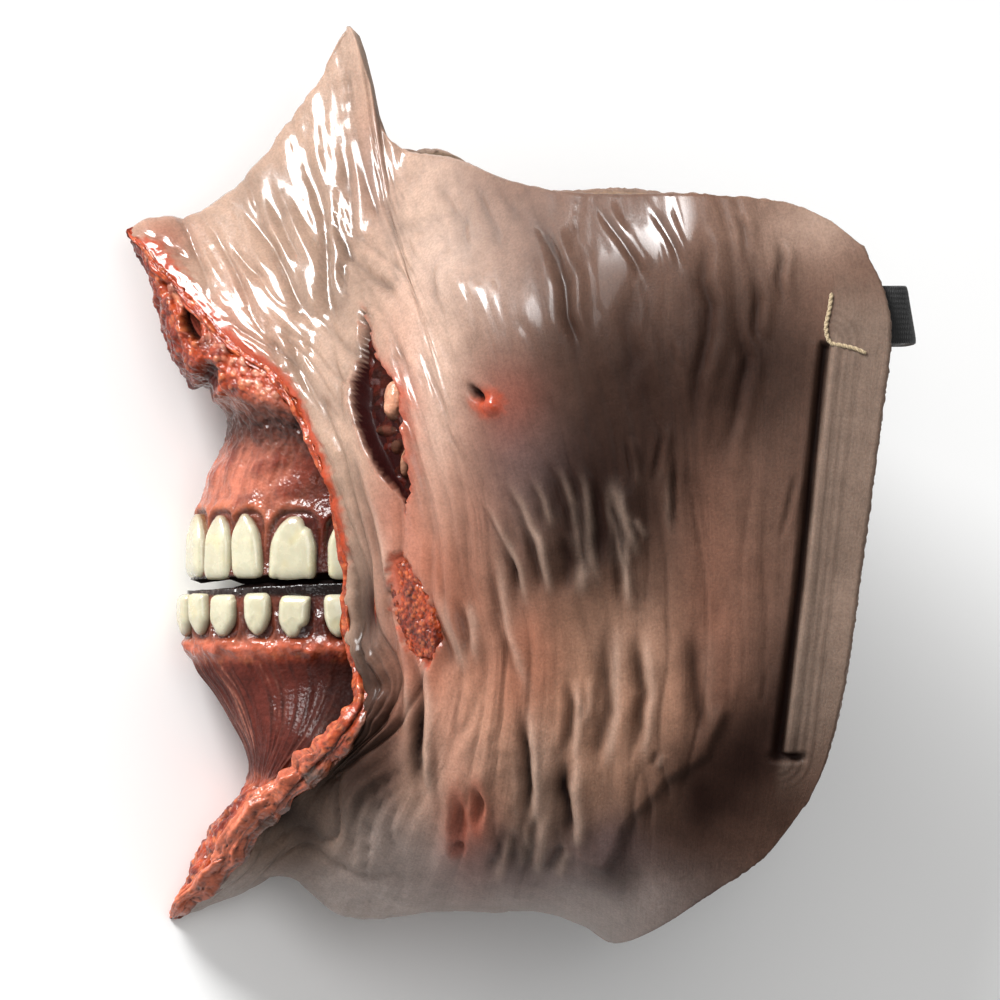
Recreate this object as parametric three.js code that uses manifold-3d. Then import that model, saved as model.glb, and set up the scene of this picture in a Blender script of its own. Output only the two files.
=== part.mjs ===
// A latex horror half mask: nose, cheeks, jaw and a torn, toothed mouth, cast as one hollow skin,
// with a black elastic strap sewn inside its rear edges.
// The shape is worked out upright, as worn: f forward from the rear edge, y to the wearer's left,
// u up from the underside of the jaw, in millimetres. At the end it is laid down on its right side,
// as a loose mask lies: +Z up, the face towards -X, the brow towards +Y, the origin on the floor
// under the middle.
import * as THREE from "three";
import { mergeVertices } from "three/addons/utils/BufferGeometryUtils.js";
import Module from "manifold-3d";

const wasm = await Module();
wasm.setup();

// Driving dimensions, in millimetres
const wall = 2.6; // latex skin
const cheekHalfWidth = 72; // widest half of the face, at the cheekbones
const widestLevel = 105; // u of that width
const browClosure = 185; // u at which the head would close over the trimmed top edge
const sideStart = 30; // f behind which the sides run straight back
const noseLength = 34; // how far down the nose reaches most of its width
const chinHalfWidth = 34;
const mouthWall = 3;
const slit = { height: 2.4, level: 68, openFrom: 136, grooveFrom: 114, depth: 1.4 };
const upperTeeth = { // arcs: along the gum from the middle of the face to each tooth
  level: 76.1, height: 13.4, arcs: [5.6, 15.2, 22.7, 33.2, 45], widths: [9.4, 7.4, 7, 10, 9],
};
const lowerTeeth = {
  level: 61.8, height: 8.8, arcs: [4.6, 11.8, 19, 27.2, 35.2, 44.5],
  widths: [6.6, 5.4, 6.2, 5.8, 6.6, 6],
};
const toothRelief = 1.7;
const strap = {
  width: 12, thickness: 1.4, level: 124, endForward: 13, bend: 5, twist: 0.17, bow: 0.6, clearance: 0.8,
};
const stitch = { radius: 0.45, clearance: 0.45 };
const columns = 38; // even, as the inner skin takes every second one
const rows = 16;
const mouthColumns = [0, 0.15, 0.3, 0.44, 0.58, 0.72, 0.81, 0.9, 1]; // shares across, closer in the pocket

// A smooth curve through knots [t, ...values]: cubic pieces whose slopes follow the neighbours
function through(knots) {
  const slope = (i, k) => {
    const before = knots[Math.max(i - 1, 0)];
    const after = knots[Math.min(i + 1, knots.length - 1)];
    return (after[k] - before[k]) / (after[0] - before[0]);
  };
  return (t) => {
    let i = 0;
    while (i < knots.length - 2 && t > knots[i + 1][0]) i += 1;
    const span = knots[i + 1][0] - knots[i][0];
    const x = Math.min(Math.max((t - knots[i][0]) / span, 0), 1);
    const x2 = x * x;
    const x3 = x2 * x;
    return knots[i].slice(1).map((start, n) => {
      const k = n + 1;
      return (2 * x3 - 3 * x2 + 1) * start + (x3 - 2 * x2 + x) * span * slope(i, k) +
        (3 * x2 - 2 * x3) * knots[i + 1][k] + (x3 - x2) * span * slope(i + 1, k);
    });
  };
}

const mix = (from, to, x) => from + (to - from) * x;
const clamp01 = (x) => Math.min(Math.max(x, 0), 1);
const smooth = (from, to, x) => {
  const s = clamp01((x - from) / (to - from));
  return s * s * (3 - 2 * s);
};
const bell = (x, middle, spread) => Math.exp(-((x - middle) ** 2) / (2 * spread * spread));

// Side-view outlines of the skin, [share along, f, u]. The top runs from the tip of the nose up the
// ridge to the brow point, then round the eye and back over the cheek to the temple.
const browShare = 0.3;
const throatShare = 0.6;
const topEdge = through([
  [0, 157.5, 142.5], [0.03, 153, 144.5], [0.08, 145, 145], [0.12, 137.5, 148.5],
  [0.16, 131, 155.5], [0.2, 125, 164], [0.25, 118, 173.5], [browShare, 111.5, 184],
  [0.34, 107.5, 173.5], [0.38, 105, 163.5], [0.42, 100.5, 158.5], [0.5, 89.5, 156.5],
  [0.56, 79, 152], [0.62, 67.5, 149.5], [0.72, 51, 149], [0.82, 34.5, 148.5],
  [0.9, 21, 147], [0.95, 12.5, 143.5], [1, 5.5, 138],
]);
const softTopEdge = through([ // the same without the tip of the nose and the peak, for the rows below
  [0, 157.5, 142.5], [0.12, 137.5, 148], [0.2, 125, 153], [browShare, 113.5, 157],
  [0.36, 109.5, 158], [0.41, 103, 158.3], [0.45, 96.5, 157.7], [0.5, 89.5, 156.5],
  [0.56, 79, 152], [0.62, 67.5, 149.5], [0.72, 51, 149],
  [0.82, 34.5, 148.5], [0.9, 21, 147], [0.95, 12.5, 143.5], [1, 5.5, 138],
]);
const bottomEdge = through([
  [0, 147.5, -1], [0.06, 137.5, 2.5], [0.12, 125, 7.5], [0.18, 114.5, 0], [0.24, 105, -1.5],
  [0.3, 95, 0], [0.42, 80, 0], [0.5, 71, 0], [0.56, 62.5, -3], [throatShare, 57, -6.5],
  [0.68, 49, -3.5], [0.8, 37.5, 4], [0.92, 25, 13], [1, 16.5, 24],
]);
const tornEdge = through([
  [0, 157.5, 142.5], [0.06, 150, 134], [0.14, 137.5, 120], [0.22, 125, 110], [0.3, 118, 96],
  [0.38, 114.5, 84], [0.46, 111.5, 71], [0.54, 111, 57], [0.62, 107, 44], [0.7, 112.5, 33.5],
  [0.78, 121, 26.5], [0.86, 130, 19], [0.93, 136, 9], [1, 147.5, -1],
]);
const rearEdge = through([
  [0, 5.5, 138], [0.05, 1.5, 129.5], [0.1, 0, 121], [0.25, 2, 102.5], [0.4, 4.5, 84],
  [0.55, 7, 65], [0.7, 9, 50.5], [0.82, 11.5, 38], [0.92, 14, 29.5], [1, 16.5, 24],
]);

// Lines of the middle plane, as heights over f, carried on past the trimmed edges
const ridgeLine = through([
  [95, 214], [105, 196], [111.5, 184], [118, 173.5], [125, 164], [131, 155.5],
  [137.5, 148.5], [145, 145], [153, 144.5], [157.5, 142.5],
]);
const jawLine = through([
  [0, -30], [25, -24], [37.5, -18], [49, -12], [57, -6.5], [62.5, -3], [71, 0], [80, 0],
  [95, 0], [105, -1.5], [114.5, 0], [125, 7.5], [137.5, 2.5], [147.5, -1],
]);
const faceFront = through([
  [-10, 104], [0, 110], [15, 116], [40, 120], [75, 121.5], [110, 121], [130, 115], [150, 104],
  [170, 97], [190, 92],
]);
const noseWidth = through([[60, 34], [100, 32], [130, 26], [160, 14], [184, 10], [200, 9]]);

// Half the width of the face at a place in the side view: the barrel of the head, the nose under its
// ridge and the chin over its underside, run together by a power mean
function halfWidth(f, u) {
  const up = clamp01((u - widestLevel) / (browClosure - widestLevel));
  const down = clamp01((widestLevel - u) / (widestLevel - jawLine(f)[0]));
  const level = u > widestLevel ? (1 - up ** 2.4) ** 0.4545 : (1 - down ** 2.6) ** 0.4167;
  const ahead = clamp01((f - sideStart) / (faceFront(u)[0] - sideStart));
  const taper = smooth(80, 150, u);
  const barrel = cheekHalfWidth * level * (1 - ahead ** mix(2.3, 1.6, taper)) ** mix(0.5, 0.68, taper);
  const below = Math.max(ridgeLine(f)[0] - u, 0);
  const noseFade = smooth(55, 100, u) * smooth(80, 104, f);
  const nose = noseWidth(u)[0] * (1 - Math.exp(-Math.sqrt(below * (below + 10)) / noseLength)) * noseFade;
  const above = Math.max(u - jawLine(f)[0], 0);
  const chinFade = (1 - smooth(35, 60, u)) * smooth(75, 108, f);
  const chin = chinHalfWidth * (1 - Math.exp(-Math.sqrt(above * (above + 6)) / 22)) * chinFade;
  const bone = 4 * bell(f, 80, 13) * bell(u, 122, 12);
  const hollow = -4 * bell(f, 50, 17) * bell(u, 68, 26);
  const run = (barrel ** 3 + nose ** 3 + chin ** 3) ** (1 / 3);
  return run + (bone + hollow) * clamp01(run / 30);
}

// The half skin as a four-sided patch: a from the torn edge to the rear edge, b from top to bottom
function sideView(a, b) {
  const top = topEdge(a);
  const softTop = softTopEdge(a);
  const bottom = bottomEdge(a);
  const torn = tornEdge(b);
  const rear = rearEdge(b);
  const tornPull = (1 - a) ** (2.15 + 1.8 * (1 - smooth(0, 0.5, b)) + 0.8 * smooth(0.86, 1, b));
  const rearPull = a ** 3;
  return [0, 1].map((k) => {
    const straight = mix(softTop[k], bottom[k], b) + (1 - b) ** 5 * (top[k] - softTop[k]);
    const tornOff = torn[k] - mix(tornEdge(0)[k], tornEdge(1)[k], b);
    const rearOff = rear[k] - mix(rearEdge(0)[k], rearEdge(1)[k], b);
    return straight + tornPull * tornOff + rearPull * rearOff;
  });
}
// Rows stand closer together where the skin runs in to the middle plane, at the nose and the chin
function shareOf(a, b) {
  const topBunch = mix(1.5, 1, smooth(browShare - 0.12, browShare + 0.12, a));
  const bottomBunch = mix(1.6, 1, smooth(throatShare - 0.2, throatShare + 0.1, a));
  return 1 - (1 - b ** topBunch) ** bottomBunch;
}
function skinBase(a, b) {
  const [f, u] = sideView(a, shareOf(a, b));
  const onMiddle = (b === 0 && a <= browShare) || (b === 1 && a <= throatShare);
  return new THREE.Vector3(f, onMiddle ? 0 : Math.max(halfWidth(f, u), 0.4), u);
}

// Carving of the skin: long strands down the face, the slash and pit on the cheek, the hollow behind
// the torn chin and the long groove inside the rear edge
const wounds = [
  { f: 105.5, u: 109, along: 17, across: 3.4, lean: 0.2, depth: 3.2 },
  { f: 99.5, u: 64, along: 11, across: 3, lean: 0.12, depth: 1 },
  { f: 82.5, u: 106.5, along: 2.6, across: 2.4, lean: 0.6, depth: 1.6 },
  { f: 98.5, u: 39, along: 15, across: 6, lean: 0, depth: 4 },
];
function hurt(f, u, widen) {
  return wounds.reduce((sum, wound) => {
    const up = u - wound.u;
    const ahead = f - wound.f - wound.lean * up;
    return sum - wound.depth * bell(ahead, 0, wound.across / 2 + widen) *
      bell(up, 0, wound.along / 2 + widen);
  }, 0);
}
function carving(a, b, f, u) {
  const drift = 0.5 * Math.sin(3.1 * b + 4 * a) + 0.25 * Math.sin(7.3 * b - 9 * a);
  const strands = 0.8 * Math.sin(2 * Math.PI * (8.5 * a + drift)) +
    0.5 * Math.sin(2 * Math.PI * (13 * a - 1.6 * drift + 0.3));
  const strandFade = smooth(0, 0.06, b) * (1 - smooth(0.86, 0.97, b)) * smooth(0, 0.08, a) *
    (1 - smooth(0.8, 0.88, a)) * (1 - bell(a, 0.36, 0.07) * (1 - smooth(0.25, 0.55, b)));
  const grooveF = mix(21, 13.5, clamp01((u - 32) / 86));
  const groove = -1.4 * bell(f, grooveF, 1.6) * smooth(30, 34, u) * (1 - smooth(114, 119, u));
  return strands * strandFade + groove;
}

// Grids of points, [column][row], with normals from their neighbours
function normalsOf(grid) {
  return grid.map((line, i) => line.map((point, j) => {
    const alongA = grid[Math.min(i + 1, grid.length - 1)][j].clone().sub(grid[Math.max(i - 1, 0)][j]);
    const alongB = line[Math.min(j + 1, line.length - 1)].clone().sub(line[Math.max(j - 1, 0)]);
    const normal = alongB.cross(alongA);
    if (point.y < 1e-9) normal.y = 0;
    return normal.normalize();
  }));
}

// The columns stand closer in the crease behind the brow point, and one is at each end of the middle plane
const columnShare = [[0, 0], [12, browShare], [18, 0.41], [24, throatShare], [columns, 1]];
const skinColumns = [];
for (let i = 0; i <= columns; i += 1) {
  const k = columnShare.findIndex(([last]) => last >= i) || 1;
  const [[first, from], [last, to]] = [columnShare[k - 1], columnShare[k]];
  skinColumns.push(mix(from, to, (i - first) / (last - first)));
}

const skinBasis = skinColumns.map((a) => {
  const line = [];
  for (let j = 0; j <= rows; j += 1) line.push(skinBase(a, j / rows));
  return line;
});
// Square to the surface y = halfWidth(f, u), from its slopes over a short way
const skinNormals = skinBasis.map((line) => line.map(({ x: f, y, z: u }) => {
  const reach = 0.5;
  const forward = halfWidth(f + reach, u) - halfWidth(f - reach, u);
  const upward = halfWidth(f, u + reach) - halfWidth(f, u - reach);
  return new THREE.Vector3(-forward, y > 0 ? 2 * reach : 0, -upward).normalize();
}));

function skinGrid() {
  const outer = skinBasis.map((line, i) => line.map((point, j) => {
    const relief = carving(skinColumns[i], j / rows, point.x, point.z) + hurt(point.x, point.z, 0);
    return point.clone().addScaledVector(skinNormals[i][j], relief);
  }));
  const inner = skinBasis.map((line, i) => line.map((point, j) => {
    const relief = hurt(point.x, point.z, 3) - wall;
    return point.clone().addScaledVector(skinNormals[i][j], relief);
  })).filter((line, i) => i % 2 === 0);
  return { outer, inner };
}

// The flesh of the muzzle: its line in the middle plane, [share along, f, u], level with the torn edge
const fleshLine = through([
  [0, 157.5, 142.5], [0.03, 156, 139], [0.06, 154.2, 134.5], [0.1, 152, 128], [0.14, 150.3, 121.5],
  [0.18, 148, 115.5], [0.22, 144, 110.3], [0.25, 139.5, 106.5], [0.28, 138, 101.5],
  [0.31, 139, 96], [0.34, 141.3, 91], [0.38, 142.7, 84], [0.42, 143.6, 77.5], [0.46, 144.3, 71],
  [0.5, 145.8, 64], [0.54, 145.2, 57], [0.58, 143.6, 51], [0.62, 139.6, 45.5], [0.66, 136, 39.5],
  [0.7, 133.2, 34], [0.74, 132.2, 29], [0.78, 134, 25], [0.82, 137, 21], [0.86, 140.3, 16.5],
  [0.93, 145, 7.5], [1, 147.5, -1],
]);
const archHalfWidth = 24.6;
const archBack = 108; // f where the gums end, deep in the corners of the mouth
const pocketDepth = 6;

// A point of the flesh, across = 0 in the middle plane and 1 at the torn edge: a plain bulge at the
// nose and the chin, and between them an arch of gum with a pocket beside it
const archnessOf = (share) => smooth(0.24, 0.34, share) * (1 - smooth(0.6, 0.74, share));
function fleshPoint(share, across, edge) {
  const [f, u] = fleshLine(share);
  const archness = archnessOf(share);
  const turn = across * Math.PI / 2;
  const bulge = [mix(edge.x, f, Math.cos(turn) ** 0.9), edge.y * Math.sin(turn) ** 0.9];
  const archShare = 0.72;
  let arch;
  if (across <= archShare) {
    const sweep = across / archShare * Math.PI / 2;
    arch = [mix(archBack, f, Math.cos(sweep) ** 0.93), archHalfWidth * Math.sin(sweep) ** 0.93];
  } else {
    const t = (across - archShare) / (1 - archShare);
    const weights = [(1 - t) ** 3, 3 * t * (1 - t) ** 2, 3 * t * t * (1 - t), t ** 3];
    const fs = [archBack, archBack - pocketDepth, edge.x - 3, edge.x];
    const ys = [archHalfWidth, archHalfWidth + 1, edge.y - 5, edge.y];
    arch = [fs, ys].map((values) => values.reduce((sum, value, k) => sum + value * weights[k], 0));
  }
  return new THREE.Vector3(mix(bulge[0], arch[0], archness), mix(bulge[1], arch[1], archness),
    mix(u, edge.z, across ** 1.5));
}

// Where the flesh meets the skin, at every half row: at the nose and the chin just under the torn
// edge, and beside the mouth a little behind it, so that the edge stands free there
function edgeLines() {
  const lineAt = (i, level, depth) => {
    const at = (j) => skinBasis[i][j].clone().addScaledVector(skinNormals[i][j], -depth);
    const j = Math.floor(level / 2);
    return level % 2 ? at(j).add(at(j + 1)).divideScalar(2) : at(j);
  };
  const levels = [];
  for (let level = 1; level < 2 * rows; level += 1) {
    const share = shareOf(0, level / 2 / rows);
    const archness = archnessOf(share);
    const rim = lineAt(0, level, 0.7);
    const toSkin = lineAt(1, level, 0.9).sub(rim);
    const reach = toSkin.length();
    toSkin.normalize();
    const edge = rim.clone().addScaledVector(toSkin, Math.min(0.5, reach / 3));
    edge.lerp(lineAt(2, level, 1.4), archness);
    const near = rim.clone().addScaledVector(toSkin, Math.min(2, reach * 0.9));
    levels.push({ share, edge, buried: near.lerp(lineAt(3, level, 1), archness) });
  }
  return levels;
}

function mouthGrid() {
  const levels = edgeLines();
  const outer = mouthColumns.map((across) =>
    levels.map(({ share, edge }) => fleshPoint(share, across, edge)));
  const normals = normalsOf(outer);
  const inner = outer.map((line, i) => line.map((point, level) => {
    const { share } = levels[level];
    const middle = mix(1, mouthWall, smooth(0, 0.12, share) * (1 - smooth(0.9, 1, share)));
    const thickness = mix(middle, 1.2, smooth(0.72, 1, mouthColumns[i]));
    return point.clone().addScaledVector(normals[i][level], -thickness);
  }));
  outer.push(levels.map(({ buried }) => buried));
  inner.push(levels.map(({ buried }, level) =>
    buried.clone().addScaledVector(skinNormals[1][Math.ceil(level / 2)], -0.9)));
  return { outer, inner };
}

// A shell from an outer and an inner grid; the inner one may have half the columns. It is left open
// where isOpen says that an edge lies on the middle plane, to meet its mirror image there.
function shellOf({ outer, inner }, isOpen) {
  const points = [];
  const faces = [];
  const height = outer[0].length;
  const step = (outer.length - 1) / (inner.length - 1);
  for (const grid of [outer, inner]) {
    for (const line of grid) {
      for (const p of line) points.push(p);
    }
  }
  const out = (i, j) => i * height + j;
  const into = (i, j) => (outer.length + i) * height + j;
  const quad = (p, q, r, s) => faces.push([p, r, q], [p, s, r]);
  for (let j = 0; j < height - 1; j += 1) {
    for (let i = 0; i < outer.length - 1; i += 1) {
      quad(out(i, j), out(i + 1, j), out(i + 1, j + 1), out(i, j + 1));
    }
    for (let i = 0; i < inner.length - 1; i += 1) {
      quad(into(i, j), into(i, j + 1), into(i + 1, j + 1), into(i + 1, j));
    }
    const last = outer.length - 1;
    const lastInner = inner.length - 1;
    if (!isOpen("start")) quad(out(0, j + 1), into(0, j + 1), into(0, j), out(0, j));
    quad(out(last, j), into(lastInner, j), into(lastInner, j + 1), out(last, j + 1));
  }
  for (let i = 0; i < inner.length - 1; i += 1) {
    for (const j of [0, height - 1]) {
      if (isOpen(j ? "last" : "first", i * step)) continue;
      const strip = [];
      for (let n = 0; n < step; n += 1) {
        strip.push([out(i * step + n, j), into(i, j), out(i * step + n + 1, j)]);
      }
      strip.push([into(i, j), into(i + 1, j), out((i + 1) * step, j)]);
      for (const [p, q, r] of strip) faces.push(j ? [p, q, r] : [p, r, q]);
    }
  }
  return { points, faces };
}

// A shell of one half of the face, joined to its mirror image
function wholeOf({ points, faces }) {
  const count = points.length;
  const mirrored = points.map((p) => new THREE.Vector3(p.x, -p.y, p.z));
  const turned = faces.map(([p, q, r]) => [p + count, r + count, q + count]);
  return solidOf({ points: [...points, ...mirrored], faces: [...faces, ...turned] });
}

function solidOf({ points, faces }) {
  const bare = new THREE.BufferGeometry().setFromPoints(points);
  bare.setIndex(faces.flat());
  const merged = mergeVertices(bare, 1e-3);
  const index = [];
  for (let n = 0; n < merged.index.count; n += 3) {
    const [p, q, r] = [0, 1, 2].map((k) => merged.index.getX(n + k));
    if (p !== q && q !== r && r !== p) index.push(p, q, r);
  }
  return new wasm.Manifold(new wasm.Mesh({
    numProp: 3,
    vertProperties: merged.attributes.position.array,
    triVerts: new Uint32Array(index),
  }));
}

const mirror = (solid) => solid.mirror([0, 1, 0]);

function geometryFrom(solid) {
  const { vertProperties, triVerts } = solid.getMesh();
  const geometry = new THREE.BufferGeometry();
  geometry.setAttribute("position", new THREE.BufferAttribute(new Float32Array(vertProperties), 3));
  geometry.setIndex(new THREE.BufferAttribute(new Uint32Array(triVerts), 1));
  return geometry;
}

// A closed solid swept through frames of section points, [frame][point], each turning the same way
function sweptSolid(frames) {
  const round = frames[0].length;
  const faces = [];
  for (let k = 0; k < frames.length - 1; k += 1) {
    for (let n = 0; n < round; n += 1) {
      const next = (n + 1) % round;
      const [p, q, r, t] = [k * round + n, k * round + next, (k + 1) * round + next, (k + 1) * round + n];
      faces.push([p, r, q], [p, t, r]);
    }
  }
  const last = (frames.length - 1) * round;
  for (let n = 1; n < round - 1; n += 1) faces.push([0, n, n + 1], [last, last + n + 1, last + n]);
  return solidOf({ points: frames.flat(), faces });
}

// The gum line at one level, from the middle plane to the corner of the mouth
function gumLine(level) {
  let [low, high] = [0.3, 0.62];
  for (let n = 0; n < 30; n += 1) {
    const middle = (low + high) / 2;
    if (fleshLine(middle)[1] > level) low = middle;
    else high = middle;
  }
  const [f, u] = tornEdge(low);
  const edge = new THREE.Vector3(f, halfWidth(f, u), u);
  const line = [];
  for (let n = 0; n <= 60; n += 1) line.push(fleshPoint(low, 0.72 * n / 60, edge).setZ(level));
  return line;
}
function alongLine(line, arc) {
  let left = arc;
  let k = 0;
  while (k < line.length - 2 && left > line[k].distanceTo(line[k + 1])) {
    left -= line[k].distanceTo(line[k + 1]);
    k += 1;
  }
  const along = line[k + 1].clone().sub(line[k]).normalize();
  return { at: line[k].clone().addScaledVector(along, left), along };
}

// A tooth: a pad with a rounded root, squarer at the biting edge, standing proud of the gum
function toothSolid(line, arc, width, height, rootSide) {
  const { at, along } = alongLine(line, arc);
  const out = new THREE.Vector3(along.y, -along.x, 0);
  const rings = [[1, -1.4], [1, 0.45 * toothRelief], [0.92, 0.8 * toothRelief], [0.7, toothRelief]];
  const sides = 10;
  const frames = rings.map(([scale, proud]) => {
    const ring = [];
    for (let n = 0; n < sides; n += 1) {
      const turn = (n + 0.5) / sides * 2 * Math.PI;
      const square = (x) => Math.sign(x) * Math.abs(x) ** 0.62;
      const rise = square(Math.sin(turn));
      const narrow = 1 - 0.14 * Math.max(0, rise);
      ring.push(at.clone()
        .addScaledVector(along, scale * square(Math.cos(turn)) * narrow * width / 2)
        .addScaledVector(out, proud)
        .add(new THREE.Vector3(0, 0, scale * rise * rootSide * height / 2)));
    }
    return rootSide > 0 ? ring.reverse() : ring;
  });
  return sweptSolid(frames);
}
function rowOfTeeth({ level, height, arcs, widths }, rootSide) {
  const line = gumLine(level);
  return arcs.map((arc, n) => toothSolid(line, arc, widths[n], height, rootSide));
}

// The mouth: open between the front teeth, and a groove along the side ones
function slitSolids() {
  const line = gumLine(slit.level).filter((p) => p.x > slit.grooveFrom && p.x < slit.openFrom + 2);
  const frames = line.map((point, k) => {
    const along = line[Math.min(k + 1, line.length - 1)].clone().sub(line[Math.max(k - 1, 0)]).normalize();
    const out = new THREE.Vector3(along.y, -along.x, 0);
    return [[2, -1], [2, 1], [-slit.depth, 1], [-slit.depth, -1]].map(([proud, rise]) =>
      point.clone().addScaledVector(out, proud).add(new THREE.Vector3(0, 0, rise * slit.height / 2)));
  });
  const groove = sweptSolid(frames);
  const base = slit.level - slit.height / 2;
  const front = wasm.Manifold.cube([30, 50, slit.height]).translate([slit.openFrom, -25, base]);
  return [front, groove, mirror(groove)];
}

// The elastic strap: flat against the inner wall on each side, then round behind the head opening
function strapSolid() {
  const path = [];
  const inside = (f, u) => halfWidth(f, u) - wall - strap.clearance - strap.thickness / 2;
  const [above, below] = [1, -1].map((side) => inside(5, strap.level + side * strap.width / 2));
  const tilt = (above - below) / strap.width;
  const level = inside(5, strap.level);
  for (const f of [strap.endForward, 9, 5, 1]) path.push({ f, y: level, turn: 0 });
  for (const share of [0.2, 0.4, 0.6, 0.8, 1]) {
    const turn = share * Math.PI / 2;
    path.push({ f: 1 - strap.bend * Math.sin(turn), y: level - strap.bend * (1 - Math.cos(turn)), turn });
  }
  const end = path[path.length - 1].y;
  for (const share of [0.8, 0.6, 0.4, 0.2, 0]) {
    const bow = strap.bow * (1 - share * share);
    path.push({ f: 1 - strap.bend - bow, y: end * share, turn: Math.PI / 2 });
  }
  const mirrored = path.slice(0, -1).reverse()
    .map(({ f, y, turn }) => ({ f, y: -y, turn: Math.PI - turn }));
  const frames = [...path, ...mirrored].map(({ f, y, turn }) => {
    const side = Math.cos(turn);
    const out = new THREE.Vector3(-Math.sin(turn), side, 0);
    const lean = new THREE.Vector3(strap.twist * (1 - Math.abs(side)), tilt * side, 1).normalize();
    const at = new THREE.Vector3(f, y, strap.level);
    return [[1, 1], [1, -1], [-1, -1], [-1, 1]].map(([across, through]) => at.clone()
      .addScaledVector(lean, across * strap.width / 2)
      .addScaledVector(out, through * strap.thickness / 2));
  });
  return sweptSolid(frames);
}

// Hand stitches outside, which hold the ends of the strap: a thread lying on the skin
const stitchPath = [
  [11.9, 128.5], [12.4, 125], [13.1, 121.3], [12.3, 118.3], [9.8, 117.6], [7.3, 117], [4.8, 116],
];
function stitchSolid() {
  const line = stitchPath.map(([f, u]) =>
    new THREE.Vector3(f, halfWidth(f, u) + stitch.clearance + stitch.radius, u));
  const frames = line.map((point, k) => {
    const along = line[Math.min(k + 1, line.length - 1)].clone().sub(line[Math.max(k - 1, 0)]).normalize();
    const up = new THREE.Vector3(0, 1, 0).addScaledVector(along, -along.y).normalize();
    const across = new THREE.Vector3().crossVectors(along, up);
    const section = [];
    for (let n = 0; n < 6; n += 1) {
      const turn = n / 6 * 2 * Math.PI;
      section.push(point.clone()
        .addScaledVector(up, stitch.radius * Math.cos(turn))
        .addScaledVector(across, -stitch.radius * Math.sin(turn)));
    }
    return section;
  });
  return sweptSolid(frames);
}

// The bodies of a solid, largest first: specks that the cuts leave at the seams are dropped
const bodiesOf = (solid) => solid.decompose().sort((p, q) => q.volume() - p.volume());
const teeth = [...rowOfTeeth(upperTeeth, 1), ...rowOfTeeth(lowerTeeth, -1)];
const skin = wholeOf(shellOf(skinGrid(), (edge, i) =>
  (edge === "first" && skinColumns[i] < browShare) || (edge === "last" && skinColumns[i] < throatShare)));
const mouth = wholeOf(shellOf(mouthGrid(), (edge) => edge === "start"));
const joined = wasm.Manifold.union([skin, mouth, ...teeth, ...teeth.map(mirror)]);
const casting = bodiesOf(wasm.Manifold.difference([joined, ...slitSolids()]).simplify(0.1))[0];
const thread = stitchSolid();
const elastic = strapSolid();

// The triangles of a solid as triples of points
function trianglesOf(solid) {
  const { vertProperties, triVerts } = solid.getMesh();
  const point = (n) => new THREE.Vector3(...vertProperties.slice(3 * n, 3 * n + 3));
  const triangles = [];
  for (let n = 0; n < triVerts.length; n += 3) triangles.push([0, 1, 2].map((k) => point(triVerts[n + k])));
  return triangles;
}
function centreOfMass(solids) {
  const sum = new THREE.Vector3();
  let volume = 0;
  for (const [p, q, r] of solids.flatMap(trianglesOf)) {
    const part = p.dot(new THREE.Vector3().crossVectors(q, r)) / 6;
    sum.addScaledVector(p.clone().add(q).add(r), part / 4);
    volume += part;
  }
  return sum.divideScalar(volume);
}

// The lying pose: of the faces of the hull that the mask can rest on, because the centre of mass is
// over them, the one that has the right cheek most nearly down.
function lyingMatrix() {
  const centre = centreOfMass([casting, elastic]);
  const sideDown = new THREE.Vector3(0, -1, 0);
  let best = new THREE.Vector3(0, 1, 0);
  for (const [p, q, r] of trianglesOf(casting.add(elastic).hull())) {
    const down = q.clone().sub(p).cross(r.clone().sub(p)).normalize();
    const foot = centre.clone().addScaledVector(down, p.clone().sub(centre).dot(down));
    const rests = new THREE.Triangle(p, q, r).containsPoint(foot);
    if (rests && down.dot(sideDown) > best.dot(sideDown)) best = down;
  }
  const up = best.negate();
  const back = new THREE.Vector3(-1, 0, 0).addScaledVector(up, up.x).normalize();
  const brow = new THREE.Vector3().crossVectors(up, back);
  return new THREE.Matrix4().makeBasis(back, brow, up).transpose();
}

const materials = {
  latex: new THREE.MeshStandardMaterial({ color: 0xa08070, roughness: 0.45, metalness: 0 }),
  elastic: new THREE.MeshStandardMaterial({ color: 0x101010, roughness: 0.9, metalness: 0 }),
  thread: new THREE.MeshStandardMaterial({ color: 0xb59a6c, roughness: 0.8, metalness: 0 }),
};
const group = new THREE.Group();
const lying = lyingMatrix();
const pieces = [
  ["mask_casting", casting, materials.latex],
  ["elastic_strap", elastic, materials.elastic],
  ["stitch_left", thread, materials.thread],
  ["stitch_right", mirror(thread), materials.thread],
];
for (const [name, solid, material] of pieces) {
  const mesh = new THREE.Mesh(geometryFrom(solid).applyMatrix4(lying), material.clone());
  mesh.name = name;
  group.add(mesh);
}
// The origin goes under the middle of the whole, on the floor
const bounds = new THREE.Box3().setFromObject(group);
const middle = bounds.getCenter(new THREE.Vector3());
for (const mesh of group.children) mesh.geometry.translate(-middle.x, -middle.y, -bounds.min.z);

export default group;
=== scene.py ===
import bpy
import numpy as np
from mathutils import Matrix


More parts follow.
